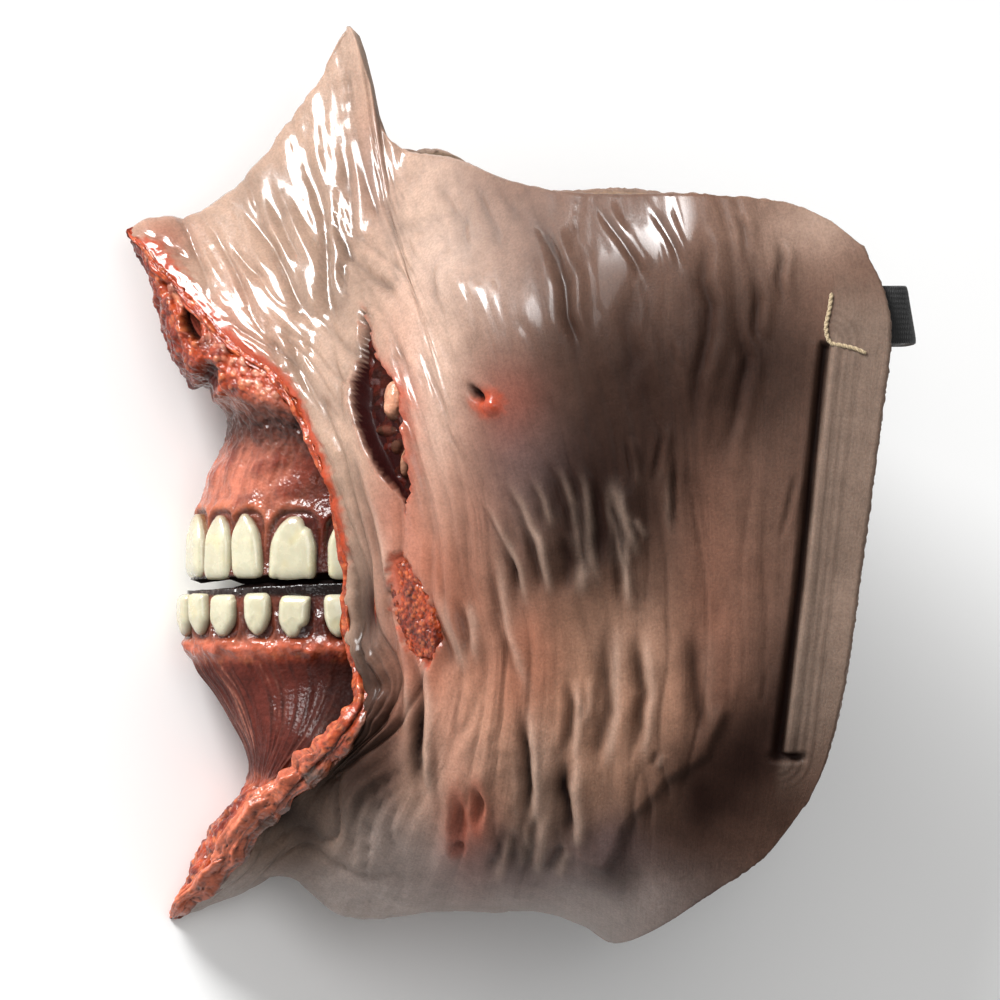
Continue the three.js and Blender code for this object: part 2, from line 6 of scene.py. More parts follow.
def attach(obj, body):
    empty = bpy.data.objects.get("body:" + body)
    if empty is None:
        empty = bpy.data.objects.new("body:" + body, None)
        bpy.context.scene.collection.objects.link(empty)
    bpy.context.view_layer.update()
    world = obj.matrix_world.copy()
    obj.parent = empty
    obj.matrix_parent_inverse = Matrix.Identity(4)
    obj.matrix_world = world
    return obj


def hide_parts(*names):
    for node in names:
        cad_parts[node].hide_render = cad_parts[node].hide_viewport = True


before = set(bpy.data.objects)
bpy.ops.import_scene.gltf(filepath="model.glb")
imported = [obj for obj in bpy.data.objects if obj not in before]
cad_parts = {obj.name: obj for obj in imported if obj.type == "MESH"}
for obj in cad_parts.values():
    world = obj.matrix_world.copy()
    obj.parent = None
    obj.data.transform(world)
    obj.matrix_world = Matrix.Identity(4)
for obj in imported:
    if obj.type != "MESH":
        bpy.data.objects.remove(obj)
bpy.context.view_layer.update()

# The mask is worked out upright, as worn, in millimetres: f forward from the rear edge, y to the
# wearer's left, u up from the underside of the jaw. wornAxes and lyingShift lay it on its cheek.
wornAxes = np.array([
    [-0.795240, 0, -0.606295], [-0.601324, -0.127796, 0.788719], [-0.077482, 0.991800, 0.101629],
])
lyingShift = np.array([51.3489, -86.9043, 91.9533])
perMetre = 1000
pi = np.pi


# Plain functions of numbers and arrays
def mix(start, end, x):
    return start + (end - start) * x


def smooth(start, end, x):  # 0 at start, 1 at end, 3s² - 2s³ between them; end may be the smaller
    s = np.clip((x - start) / (end - start), 0, 1)
    return s * s * (3 - 2 * s)


def bell(x, middle, spread):  # 1 at the middle, falling with the square of the distance
    return np.exp(-((x - middle) ** 2) / (2 * spread * spread))


def peak(x, width):  # 1 where x is nought, falling sharply to both sides
    return np.exp(-np.abs(x) / width)


def hills(f, u, table):  # the sum of bells in two directions: places, spreads, rise
    return sum(rise * bell(f, atF, long) * bell(u, atU, tall) for atF, atU, long, tall, rise in table)


def oval(f, u, atF, atU, long, tall):  # 0 at a place, 1 on an oval round it, more outside
    return np.hypot((f - atF) / long, (u - atU) / tall)


def power(x, n):  # a power of the size of x, with its sign
    return np.sign(x) * np.abs(x) ** n


def dome(far, size=1):  # the height of a half ball
    return np.sqrt(np.maximum(1 - (far / size) ** 2, 0))


def unit(v):
    return v / np.maximum(np.linalg.norm(v, axis=-1, keepdims=True), 1e-12)


def runLength(line):  # how far along a line of points each one is
    return np.concatenate([[0], np.cumsum(np.linalg.norm(np.diff(line, axis=0), axis=1))])


def through(knots):  # a smooth curve through knots [t, values...]: cubic pieces, slopes from the neighbours
    table = np.array(knots, float)
    t, values, order = table[:, 0], table[:, 1:], np.arange(len(table))
    before, after = np.maximum(order - 1, 0), np.minimum(order + 1, order[-1])
    slopes = (values[after] - values[before]) / (t[after] - t[before])[:, None]

    def at(x):
        x = np.asarray(x, float)
        k = np.clip(np.searchsorted(t, x) - 1, 0, len(t) - 2)
        span = (t[k + 1] - t[k])[..., None]
        s = np.clip((x[..., None] - t[k][..., None]) / span, 0, 1)
        line = (2 * s**3 - 3 * s**2 + 1) * values[k] + (3 * s**2 - 2 * s**3) * values[k + 1]
        line += span * ((s**3 - 2 * s**2 + s) * slopes[k] + (s**3 - s**2) * slopes[k + 1])
        return np.moveaxis(line, -1, 0)

    return at


# Noise and strewn beads, the same on every run
dice = np.random.default_rng(11)
shuffle = dice.permutation(256)
slopeTable = unit(dice.normal(size=(256, 3)))
strewTable = dice.random((256, 3))


def hashOf(at, seed):
    x, y, z = np.moveaxis(at, -1, 0)
    return shuffle[(shuffle[(shuffle[(x + 37 * seed) & 255] + y) & 255] + z) & 255]


def cellsOf(*place):
    p = np.stack(np.broadcast_arrays(*place), -1).astype(float)
    return p, np.floor(p).astype(int)


def noise(x, y, z, seed):  # random slopes at whole numbers, blended smoothly: about -1 to 1
    p, low = cellsOf(x, y, z)
    part, total = p - low, 0
    fade = part**3 * (part * (part * 6 - 15) + 10)
    for corner in np.ndindex(2, 2, 2):
        weight = np.prod(np.where(corner, fade, 1 - fade), -1)
        total = total + weight * np.sum(slopeTable[hashOf(low + corner, seed)] * (part - corner), -1)
    return 1.7 * total


def beads(x, y, z, seed):  # distances to the nearest and second of one point strewn in each unit cube
    p, low = cellsOf(x, y, z)
    first, second, name = np.full(p.shape[:-1], 9.0), np.full(p.shape[:-1], 9.0), np.zeros(p.shape[:-1])
    for corner in np.ndindex(3, 3, 3):
        at = low + corner - 1
        mark = hashOf(at, seed)
        far = np.linalg.norm(at + strewTable[mark] - p, axis=-1)
        second = np.minimum(second, np.maximum(first, far))
        name = np.where(far < first, mark / 255, name)
        first = np.minimum(first, far)
    return first, second, name


def granular(p, size, seed):  # round beads strewn over a surface: height 0 to 1, painted shade between them, a mark
    first, second, name = beads(*(np.moveaxis(p, -1, 0) / size), seed)
    return dome(first, 0.75) * (0.6 + 0.4 * name), np.exp(-(second - first) / 0.09), name


def lineDistance(f, u, line):  # distance to a line in the side view, plus ahead of it; the share along it
    line = np.reshape(line, (-1, 2)).astype(float)
    way = np.diff(line, axis=0)[..., None, None]
    off = np.stack([f, u]) - line[:-1, :, None, None]
    along = np.clip(np.sum(off * way, 1) / np.sum(way * way, 1), 0, 1)
    off = off - along[:, None] * way
    ahead = np.sign(off[:, 1] * way[:, 0] - off[:, 0] * way[:, 1])
    far = np.hypot(off[:, 0], off[:, 1])
    nearest = np.argmin(far, 0)[None]
    signed, along = (np.take_along_axis(x, nearest, 0)[0] for x in (far * ahead, along))
    return signed, (nearest[0] + along) / (len(line) - 1)


# Some of these stand for light: the browns darken to the rear and the foot partly as painted shade, the pale
# grey under the jaw is painted light, the darkest browns and the blacks lie where shade falls as painted shade,
# and the light orange and pale beige on bead tops and ridges are painted highlights
paints = dict(  # screen values; they are mixed as light
    front=(160, 132, 114), middle=(119, 93, 80), rear=(101, 76, 64), foot=(74, 54, 46), under=(182, 170, 164),
    shadeBrown=(28, 14, 10), flesh=(160, 60, 32), blood=(34, 6, 5), halo=(176, 100, 72), smokeAndShade=(34, 20, 15),
    pale=(200, 172, 154), umber=(30, 16, 11), warm=(158, 118, 96), dusk=(98, 80, 78), flange=(122, 104, 92),
    bare=(176, 148, 124), orange=(158, 58, 24), light=(204, 112, 66), red=(98, 24, 11), darkAndShade=(34, 8, 4),
    gum=(176, 101, 78), gumRear=(66, 18, 11), muscle=(80, 32, 24), fibre=(172, 112, 94), blackAndShade=(10, 3, 2),
    chinLip=(214, 122, 92), pearl=(186, 132, 104), bone=(184, 178, 152), boneRoot=(112, 66, 34),
    stain=(190, 178, 132), elastic=(3, 3, 3), elasticTop=(9, 9, 10), thread=(132, 112, 82),
    threadTop=(196, 176, 142),
)


def paint(name):
    c = np.array(paints[name], float) / 255
    return np.where(c < 0.04045, c / 12.92, ((c + 0.055) / 1.055) ** 2.4)


def layered(colour, *coats):  # coats of paint over a colour, each a paint's name, or a colour, and its share
    for other, share in zip(coats[::2], coats[1::2]):
        other = paint(other) if isinstance(other, str) else other
        colour = colour + (other - colour) * np.clip(share, 0, 1)[..., None]
    return colour


# Meshes
def numbered(p, start=0):  # the numbers of a grid's points
    return start + np.arange(p[..., 0].size).reshape(p.shape[:2])


def gridFaces(index, flip=False):  # quads of a grid of point numbers
    quads = np.stack([index[:-1, :-1], index[:-1, 1:], index[1:, 1:], index[1:, :-1]], -1).reshape(-1, 4)
    return quads[:, ::-1] if flip else quads


def tubeFaces(p):  # a section carried along a path, closed at both ends
    index = numbered(p)
    return [gridFaces(index), index[0][None, :-1], index[-1][None, :-1][:, ::-1]]


def addObject(name, data):
    obj = bpy.data.objects.new(name, data)
    bpy.context.scene.collection.objects.link(obj)
    return obj


def addPiece(name, points, faces, material, colour=None, uv=None, slot="latex_skin",
             nodes=("mask_casting",), **values):
    # A mesh from worn points and a list of face arrays; points that meet become one, loose ones go.
    # Colour, uv and values belong to the points. Nothing goes under the floor.
    points = points.reshape(-1, 3)
    _, first, same = np.unique(np.round(points, 3), axis=0, return_index=True, return_inverse=True)
    same = same.ravel()
    loops, counts = [], []
    corner = [points[block[:, (0, k, k + 1)]] for block in faces for k in range(1, min(block.shape[1], 4) - 1)]
    if sum(np.sum(c[:, 0] * np.cross(c[:, 1], c[:, 2])) for c in corner) < 0:  # turned inside out
        faces = [block[:, ::-1] for block in faces]
    for block in faces:
        again = same[block] == np.roll(same[block], 1, axis=1)
        for lost in (0, 1):
            chosen, size = again.sum(1) == lost, block.shape[1] - lost
            if size > 2 and chosen.any():
                loops.append(block[chosen][~again[chosen]])
                counts.append(np.full(chosen.sum(), size))
    corners, counts = np.concatenate(loops), np.concatenate(counts)
    usedNames, loops = np.unique(same[corners], return_inverse=True)
    used, loops = first[usedNames], loops.ravel()
    place = (points[used] @ wornAxes + lyingShift) / perMetre
    place[:, 2] = np.maximum(place[:, 2], 0)
    mesh = bpy.data.meshes.new(name)
    mesh.vertices.add(len(used))
    mesh.vertices.foreach_set("co", place.ravel())
    mesh.loops.add(len(loops))
    mesh.loops.foreach_set("vertex_index", loops)
    mesh.polygons.add(len(counts))
    mesh.polygons.foreach_set("loop_start", np.concatenate([[0], np.cumsum(counts)[:-1]]))
    mesh.update(calc_edges=True)
    mesh.polygons.foreach_set("use_smooth", np.ones(len(counts), bool))
    if colour is not None:
        rgba = np.column_stack([colour.reshape(-1, 3)[used], np.ones(len(used))])
        mesh.attributes.new("paint", "FLOAT_COLOR", "POINT").data.foreach_set("color", rgba.ravel())
    for key, value in values.items():
        mesh.attributes.new(key, "FLOAT", "POINT").data.foreach_set("value", value.ravel()[used].astype(float))
    if uv is not None:
        mesh.uv_layers.new(name="UVMap").data.foreach_set("uv", uv.reshape(-1, 2)[corners].ravel())
    mesh.validate()
    mesh.materials.append(material)
    obj = addObject(name, mesh)
    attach(obj, "root")
    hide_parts(*nodes)
    print(name, len(used), "points", int((counts - 2).sum()), "triangles")


def rimPath(*stops):  # the grid places passed in going straight from stop to stop
    legs = [np.array([stops[0]])]
    for start, end in zip(np.array(stops[:-1]), np.array(stops[1:])):
        count = int(np.abs(end - start).max())
        legs.append(start + np.sign(end - start) * np.arange(1, count + 1)[:, None])
    return np.concatenate(legs)


def shellPiece(outer, inner, steps, paths, flip):
    # Outer and inner grids, the inner one coarser by steps, joined along paths through rings of points
    out, into = numbered(outer), numbered(inner, outer[..., 0].size)
    blocks, count = [outer.reshape(-1, 3), inner.reshape(-1, 3)], out.size + into.size
    faces = [gridFaces(out), gridFaces(into, True)]
    for path, rings in paths:
        line = out[path[:, 0], path[:, 1]]
        for ring in rings:
            blocks.append(ring)
            ringLine = count + np.arange(len(ring))
            count += len(ring)
            faces.append(np.stack([line[:-1], line[1:], ringLine[1:], ringLine[:-1]], -1))
            line = ringLine
        onCoarse = (path[:, 0] % steps[0] == 0) & (path[:, 1] % steps[1] == 0)
        stops = np.flatnonzero(onCoarse)
        coarse = into[path[stops, 0] // steps[0], path[stops, 1] // steps[1]]
        nth = np.cumsum(onCoarse)[:-1] - 1
        faces.append(np.stack([line[:-1], line[1:], coarse[nth]], -1))
        faces.append(np.stack([line[stops[1:]], coarse[1:], coarse[:-1]], -1))
    return np.concatenate(blocks), [block[:, ::-1] if flip else block for block in faces]


# The form of the mask, by the same laws as the casting
form = dict(
    wall=2.6, cheekHalfWidth=72, widestLevel=105, browClosure=185, sideStart=30, noseLength=34,
    chinHalfWidth=34, chinLength=22, browShare=0.3, throatShare=0.6,
    crownPowers=(2.4, 0.4545), cheekPowers=(2.6, 0.4167),
    swellings=[(80, 122, 13, 12, 4), (50, 68, 17, 26, -4)],  # f, u, spread forward and up, rise
    hollows=[  # f, u, length, width, lean, depth
        (105.5, 109, 17, 3.4, 0.2, 3.2), (99.5, 64, 11, 3, 0.12, 1), (82.5, 106.5, 2.6, 2.4, 0.6, 1.6),
        (98.5, 39, 15, 6, 0, 4),
    ],
)
topKnots = [  # share along the edge, f, u
    [0, 157.5, 142.5], [0.03, 153, 144.5], [0.08, 145, 145], [0.12, 137.5, 148.5], [0.16, 131, 155.5],
    [0.2, 125, 164], [0.25, 118, 173.5], [0.3, 111.5, 184], [0.34, 107.5, 173.5], [0.38, 105, 163.5],
    [0.42, 100.5, 158.5], [0.5, 89.5, 156.5], [0.56, 79, 152], [0.62, 67.5, 149.5], [0.72, 51, 149],
    [0.82, 34.5, 148.5], [0.9, 21, 147], [0.95, 12.5, 143.5], [1, 5.5, 138],
]
bottomKnots = [
    [0, 147.5, -1], [0.06, 137.5, 2.5], [0.12, 125, 7.5], [0.18, 114.5, 0], [0.24, 105, -1.5],
    [0.3, 95, 0], [0.42, 80, 0], [0.5, 71, 0], [0.56, 62.5, -3], [0.6, 57, -6.5], [0.68, 49, -3.5],
    [0.8, 37.5, 4], [0.92, 25, 13], [1, 16.5, 24],
]
topEdge, bottomEdge = through(topKnots), through(bottomKnots)
softTopEdge = through([
    [0, 157.5, 142.5], [0.12, 137.5, 148], [0.2, 125, 153], [0.3, 113.5, 157], [0.36, 109.5, 158],
    [0.41, 103, 158.3], [0.45, 96.5, 157.7], *topKnots[11:],
])
tornEdge = through([
    [0, 157.5, 142.5], [0.06, 150, 134], [0.14, 137.5, 120], [0.22, 125, 110], [0.3, 118, 96],
    [0.38, 114.5, 84], [0.46, 111.5, 71], [0.54, 111, 57], [0.62, 107, 44], [0.7, 112.5, 33.5],
    [0.78, 121, 26.5], [0.86, 130, 19], [0.93, 136, 9], [1, 147.5, -1],
])
rearEdge = through([
    [0, 5.5, 138], [0.05, 1.5, 129.5], [0.1, 0, 121], [0.25, 2, 102.5], [0.4, 4.5, 84], [0.55, 7, 65],
    [0.7, 9, 50.5], [0.82, 11.5, 38], [0.92, 14, 29.5], [1, 16.5, 24],
])
ridgeLine = through([[95, 214], [105, 196]] + [knot[1:] for knot in topKnots[7::-1]])
jawLine = through([[0, -30], [25, -24], [37.5, -18], [49, -12]] + [knot[1:] for knot in bottomKnots[9::-1]])
faceFront = through([
    [-10, 104], [0, 110], [15, 116], [40, 120], [75, 121.5], [110, 121], [130, 115], [150, 104],
    [170, 97], [190, 92],
])
noseWidth = through([[60, 34], [100, 32], [130, 26], [160, 14], [184, 10], [200, 9]])
fleshLine = through([
    [0, 157.5, 142.5], [0.03, 156, 139], [0.06, 154.2, 134.5], [0.1, 152, 128], [0.14, 150.3, 121.5],
    [0.18, 148, 115.5], [0.22, 144, 110.3], [0.25, 139.5, 106.5], [0.28, 138, 101.5], [0.31, 139, 96],
    [0.34, 141.3, 91], [0.38, 142.7, 84], [0.42, 143.6, 77.5], [0.46, 144.3, 71], [0.5, 145.8, 64],
    [0.54, 145.2, 57], [0.58, 143.6, 51], [0.62, 139.6, 45.5], [0.66, 136, 39.5], [0.7, 133.2, 34],
    [0.74, 132.2, 29], [0.78, 134, 25], [0.82, 137, 21], [0.86, 140.3, 16.5], [0.93, 145, 7.5],
    [1, 147.5, -1],
])


def halfWidth(f, u):
    # Half the width of the face: the barrel of the head, the nose under its ridge and the chin over
    # its underside, run together by a power mean of order three
    widest, jaw = form["widestLevel"], jawLine(f)[0]
    up = np.clip((u - widest) / (form["browClosure"] - widest), 0, 1)
    down = np.clip((widest - u) / (widest - jaw), 0, 1)
    (crown, crownRoot), (cheek, cheekRoot) = form["crownPowers"], form["cheekPowers"]
    level = np.where(u > widest, (1 - up**crown) ** crownRoot, (1 - down**cheek) ** cheekRoot)
    ahead = np.clip((f - form["sideStart"]) / (faceFront(u)[0] - form["sideStart"]), 0, 1)
    taper = smooth(80, 150, u)
    barrel = form["cheekHalfWidth"] * level * (1 - ahead ** mix(2.3, 1.6, taper)) ** mix(0.5, 0.68, taper)
    below, above = np.maximum(ridgeLine(f)[0] - u, 0), np.maximum(u - jaw, 0)
    nose = noseWidth(u)[0] * (1 - np.exp(-np.sqrt(below * (below + 10)) / form["noseLength"]))
    nose = nose * smooth(55, 100, u) * smooth(80, 104, f)
    chin = form["chinHalfWidth"] * (1 - np.exp(-np.sqrt(above * (above + 6)) / form["chinLength"]))
    chin = chin * smooth(60, 35, u) * smooth(75, 108, f)
    run = (barrel**3 + nose**3 + chin**3) ** (1 / 3)
    return run + hills(f, u, form["swellings"]) * np.clip(run / 30, 0, 1)


def sideView(a, b):  # the half skin as a four-sided patch: a from the torn edge to the rear, b downwards
    top, soft, bottom, torn, rear = topEdge(a), softTopEdge(a), bottomEdge(a), tornEdge(b), rearEdge(b)
    tornPull = (1 - a) ** (2.15 + 1.8 * smooth(0.5, 0, b) + 0.8 * smooth(0.86, 1, b))
    out = mix(soft, bottom, b) + (1 - b) ** 5 * (top - soft)
    for edge, off, pull in ((tornEdge, torn, tornPull), (rearEdge, rear, a**3)):
        ends = edge(np.array([0.0, 1.0]))
        start, end = (ends[:, n].reshape((2,) + (1,) * np.ndim(b)) for n in (0, 1))
        out = out + pull * (off - mix(start, end, b))
    return out


def shareOf(a, b):  # rows stand closer together where the skin runs in to the middle plane
    brow, throat = form["browShare"], form["throatShare"]
    topBunch = mix(1.5, 1, smooth(brow - 0.12, brow + 0.12, a))
    bottomBunch = mix(1.6, 1, smooth(throat - 0.2, throat + 0.1, a))
    return 1 - (1 - b**topBunch) ** bottomBunch


def slopeNormals(f, y, u):  # square to y = halfWidth(f, u), from its slopes over a millimetre
    forward = halfWidth(f + 0.5, u) - halfWidth(f - 0.5, u)
    upward = halfWidth(f, u + 0.5) - halfWidth(f, u - 0.5)
    return unit(np.stack([-forward, np.where(y > 0, 1.0, 0.0), -upward], -1))


def skinPlace(a, b):
    f, u = sideView(a, shareOf(a, b))
    y = np.maximum(halfWidth(f, u), 0)
    return np.stack([f, y, u], -1), slopeNormals(f, y, u)


def castHollow(f, u):  # the sum of the casting's bell-shaped hollows, a little wider
    total, widen = 0, 3
    for atF, atU, along, across, lean, depth in form["hollows"]:
        ahead = f - atF - lean * (u - atU)
        total = total - depth * bell(ahead, 0, across / 2 + widen) * bell(u, atU, along / 2 + widen)
    return total


# The skin
skin = dict(
    columns=(0, 54, 78, 93, 132, 240), shares=(0, 0.15, 0.3, 0.41, 0.6, 1), rowsLeft=252, rowsRight=96,
    coarser=(3, 4), strandCounts=(14, 30, 75), strands=1.0, folds=1.0, grooveDepth=1.9, rimRoughness=0.35,
    groove=[(13.1, 118.6), (15.6, 96), (18.6, 68), (22.9, 32.6)], rimLines=(3.1, 4.6, 6.3),
    # grooveSlope: forward for each step down; hemSlope: down for each step forward
    grooveHalfWidth=1.05, grooveSlope=0.114, hemSlope=1.44, notchDepth=1.7,
    hem=[
        (33.7, 44.2), (34.7, 38.6), (37.5, 33.4), (45.5, 28.2), (50.3, 22.6), (54.5, 17.1), (57.3, 11.5),
        (58.7, 8.1),
    ],
    swellings=[  # f, u, spread forward and up, rise
        (90.5, 131.5, 6, 6.5, 2.6), (87, 129.6, 3, 3, 1.1), (86, 38, 7, 13, 1.0), (81.7, 38, 1.3, 1.3, 0.45),
        (79.2, 35, 1.3, 1.3, 0.45), (80.2, 31, 1.3, 1.3, 0.45), (104.3, 36, 2.8, 10, -2.6),
        (107.7, 63, 1.3, 5, -1.6),
    ],
    chinLumps=[(108.3, 52, 3, 3.4), (107.8, 42.3, 3.4, 3.2)], notch=(20.8, 32.6, 3.2, 0.9),
    tearEnds=(84, 125), grazeEnds=(52, 74), tearDepth=3.4, grazeDepth=1.3, holeDepth=2.4, slotDepth=1.5,
    # ovals: f, u, half length, half height
    hole=(84.9, 107.7, 2.0, 1.0), sore=(81.9, 105.2, 1.9, 1.7), soreRed=(82.6, 105.8, 3.2, 2.8),
    slots=[(88.7, 19.6, 1.3, 4.6), (84.6, 22.8, 1.2, 3.8)], dot=(89, 13.9, 1.2, 1.3),
    farEdge=[(56, 10, 2.3), (94, 4, 1.8)],  # where the right half's top edge stands higher: f, spread, rise
    wet=[  # glossy places: f, u, spread forward and up, strength
        (84, 131, 7, 6, 1), (71, 143, 5, 6, 1), (57, 144, 3.5, 4, 1), (46, 144, 3, 4.5, 1), (90, 146, 9, 8, 1),
    ],
)
namedFolds = [  # folds of the skin in the side view: width, depth, then f, u of each point down the crease
    (0.5, 0.5, 93.1, 133.8, 92.4, 126.8, 90.6, 121.2), (0.9, 0.6, 89.6, 146.9, 87.2, 140, 85.1, 133.1),
    (0.7, 0.6, 93.4, 152.5, 91, 146.9, 88.9, 142.1),
    (0.9, 0.8, 86.8, 151.8, 83.7, 146.9, 80.9, 140, 79.9, 135.1),
    (0.5, 0.5, 81.2, 150.4, 78.1, 146.2, 75.7, 141.4),
    (1.1, 1.5, 74.7, 149, 71.9, 142.1, 68.8, 135.8, 66.7, 130.3, 66.3, 124, 64.2, 118.5, 63.1, 111.2),
    (0.7, 0.9, 61.1, 147.3, 56.6, 141.4, 52.4, 135.1, 51.2, 131),
    (1.9, 1, 53.7, 130.3, 54, 121.2, 53.3, 114.3, 53, 106.7),
    (0.7, 0.8, 49, 146.6, 46.5, 142.1, 44.1, 137.2, 42.7, 132.4),
    (
        1.3, 1.4, 39.4, 141.4, 38, 137.2, 38.3, 131, 36.8, 125.4, 37.5, 118.5, 39.2, 111.5, 39.6, 105.3,
        41.3, 96.9,
    ),
    (0.6, 0.9, 44.1, 77.8, 44.3, 87.2, 43.8, 96.2),
    (0.6, 0.7, 32.3, 145.6, 30.2, 142.1, 29.5, 136.5, 28.1, 133.1),
    (0.8, 1.1, 28.5, 133.1, 26.9, 126.8, 27.6, 121.2, 27.1, 117.8),
    (1, 1, 31.2, 124, 30.1, 118.5, 29.2, 115, 30.2, 110.1, 31.7, 103.2, 33, 96.9, 33.8, 89.3),
    (0.7, 1.2, 22.6, 140, 22.2, 135.1, 22.8, 131.3, 21.7, 125.1), (0.5, 0.8, 54.2, 99, 53.5, 94.2, 52.4, 87.9),
    (0.5, 0.9, 47.6, 101.8, 46.7, 98.3, 47.8, 93.5, 48.8, 88.3),
    (0.9, 1.3, 57.3, 87.9, 56.6, 83.1, 55.1, 78.9, 53.5, 72.6),
    (1.8, 1.6, 60.8, 90.7, 59.7, 84.4, 58.8, 77.5, 58.5, 70.6),
    (0.8, 1.1, 66, 93.1, 64.2, 88.6, 63.5, 82.4, 62.7, 73.3, 60.8, 65.7),
    (0.8, 1.2, 70.5, 93.5, 68.4, 89.3, 66.3, 84.1, 65.5, 78.9, 63.5, 70.6),
    (0.6, 0.9, 74.7, 90, 72, 85.1, 70.5, 79.2),
    (0.8, 1.1, 79.9, 89.3, 76.9, 84.4, 74.7, 78.9, 72.9, 72.6, 71.2, 65.7),
    (0.5, 0.7, 85.1, 86.5, 81.2, 79.6, 77.4, 72.6, 75.7, 65.7), (0.5, 0.4, 92.7, 102.5, 89.2, 96.9, 86.5, 90.7),
    (0.5, 0.4, 97.6, 124, 94.1, 110.1, 88.9, 98.3), (0.5, 0.7, 18.9, 92.1, 20.6, 85.1, 22.9, 75.4),
    (0.5, 0.5, 44.8, 118.5, 43.8, 112.9), (0.7, 1, 79.9, 76.8, 77.3, 71.2, 75.9, 62.6),
    (0.8, 1, 74.3, 80.3, 72.6, 74, 71, 65.3), (1.7, 1.4, 68.1, 78.9, 66, 72.6, 66.3, 65.3),
    (0.8, 1.3, 57.3, 82.4, 56.5, 75.4, 55.5, 68.8, 55.1, 61.9), (0.6, 0.8, 53.5, 81.7, 50.7, 76.8),
    (1.3, 1.3, 95.5, 66.7, 92.8, 58.8, 90.8, 53.9, 89.8, 49), (0.9, 1.3, 88.5, 65, 87, 59.4, 86.6, 51.1),
    (1, 1, 82.3, 74.7, 81.2, 67.8, 80.1, 58.8, 77.4, 50.4, 75.5, 42.8),
    (0.9, 1.7, 75.9, 44.2, 74.7, 34.4, 74.2, 26.1, 74.7, 17.1),
    (0.9, 1.6, 66.5, 49.4, 65.5, 42.8, 66, 37.2, 67, 31.7),
    (1.5, 2, 66.7, 35.8, 67.4, 26.1, 66.3, 19.2, 67.2, 14), (0.5, 0.7, 63.2, 49.7, 62.8, 44.2, 63.5, 38.6),
    (1.2, 1.6, 58, 60.8, 58.4, 53.9, 58.5, 47.6, 58.3, 42.1, 59.7, 34.4, 60.4, 30.3),
    (1.1, 1.8, 52.6, 59.1, 51.9, 52.5, 51, 45.6, 51.6, 38.6, 53, 31),
    (1.6, 1.7, 40.3, 59.8, 40.1, 51.8, 39.4, 42.8, 38.2, 35.8), (0.5, 0.6, 25.3, 51.8, 26, 42.8),
    (1, 1.2, 78.5, 19.9, 80.8, 12.2, 83.7, 6.3), (1.4, 1.3, 77.1, 18.5, 77.3, 9.1),
    (1.1, 1.2, 72.6, 21.9, 73.6, 15, 74.7, 6), (1, 1.1, 67.4, 15, 70.5, 8.1),
    (0.9, 1.3, 98.3, 60.8, 97.4, 51.1, 96.5, 42.8, 96.3, 33.1, 96.2, 22.6),
    (0.7, 0.9, 101, 51.1, 100.6, 42.8, 101.7, 37.2), (0.6, 0.7, 47.6, 34.4, 48.8, 30.6),
    (0.6, 0.4, 92.7, 37.2, 93.1, 28.9, 92.4, 19.2), (0.8, 0.5, 145, 141.3, 142.4, 134.6, 140.6, 130.2),
    (0.6, 0.8, 139.4, 141.3, 135, 133.2, 131.2, 124.2), (0.8, 0.9, 136.8, 139.9, 132.7, 134.6, 127.9, 130.2),
    (1, 1.1, 133.5, 145.8, 127.9, 138.4, 124.6, 132.4, 122.3, 126.5, 121.6, 120.5),
    (0.7, 0.9, 128.6, 151, 125.7, 143.6, 121.9, 136.9, 119.3, 131.7),
    (0.7, 0.9, 125.7, 154, 121.9, 146.5, 119, 141.3, 117.1, 132.4),
    (0.6, 0.8, 122.7, 152.5, 120.1, 147.3, 117.9, 140.6),
    (0.8, 1, 118.6, 157, 117.1, 148, 116.4, 139.9, 115.6, 130.9, 114.5, 121.2),
    (0.6, 0.8, 113.4, 154, 113.5, 143.6, 113.8, 133.2), (0.7, 0.9, 128.6, 122.7, 126.4, 116.8, 125.3, 112.3),
    (0.7, 0.8, 124.6, 121.2, 122.3, 116, 120.8, 110.8), (0.7, 0.8, 115.6, 119.8, 113.4, 110.8, 112.6, 100.4),
    (0.8, 0.9, 112.5, 165, 111, 144.2, 114, 121.2), (1, 1, 121.9, 162.9, 116.7, 142.1, 114.6, 115),
    (0.9, 0.9, 129.8, 155.6, 124, 137.9, 118.1, 118.1),
    (0.9, 1.1, 111.5, 98.3, 106.9, 81.7, 102.7, 65, 101.5, 48.3),
    (1.2, 1.6, 96.9, 46.2, 97.3, 34.8, 96.5, 23.3), (0.8, 0.9, 103.8, 150.4, 102.3, 143.1, 101.2, 137.1),
]
slashLine = through([  # the long tear under the cheekbone: u, f of its middle, half width
    [84.5, 99.8, 0.2], [86.5, 100, 0.9], [91, 101.9, 2.6], [96, 103.6, 3.5], [99.6, 104.7, 4],
    [104, 105.5, 4.4], [108.5, 105.9, 4.6], [112.5, 107, 3.2], [116.3, 107.9, 1.6], [121.3, 108.3, 0.8],
    [124.4, 108.6, 0.2],
])
grazeLine = through([[52, 95, 0.8], [56, 96.4, 3], [62, 98, 3.6], [68, 99.4, 3.2], [74, 101, 1.2]])


def tearShare(f, u, line, low, high):  # 0 on the middle line of a tear, 1 at its edge, more outside
    middle, half = line(u)
    ragged = 1 + mix(0.08, 0.24, smooth(1, -1, f - middle)) * noise(0.5 * f, 0.45 * u, 3.0, 21)
    outside = np.maximum(np.maximum(low - u, u - high), 0)
    return np.hypot((f - middle) / (np.maximum(half, 0.25) * ragged), outside)


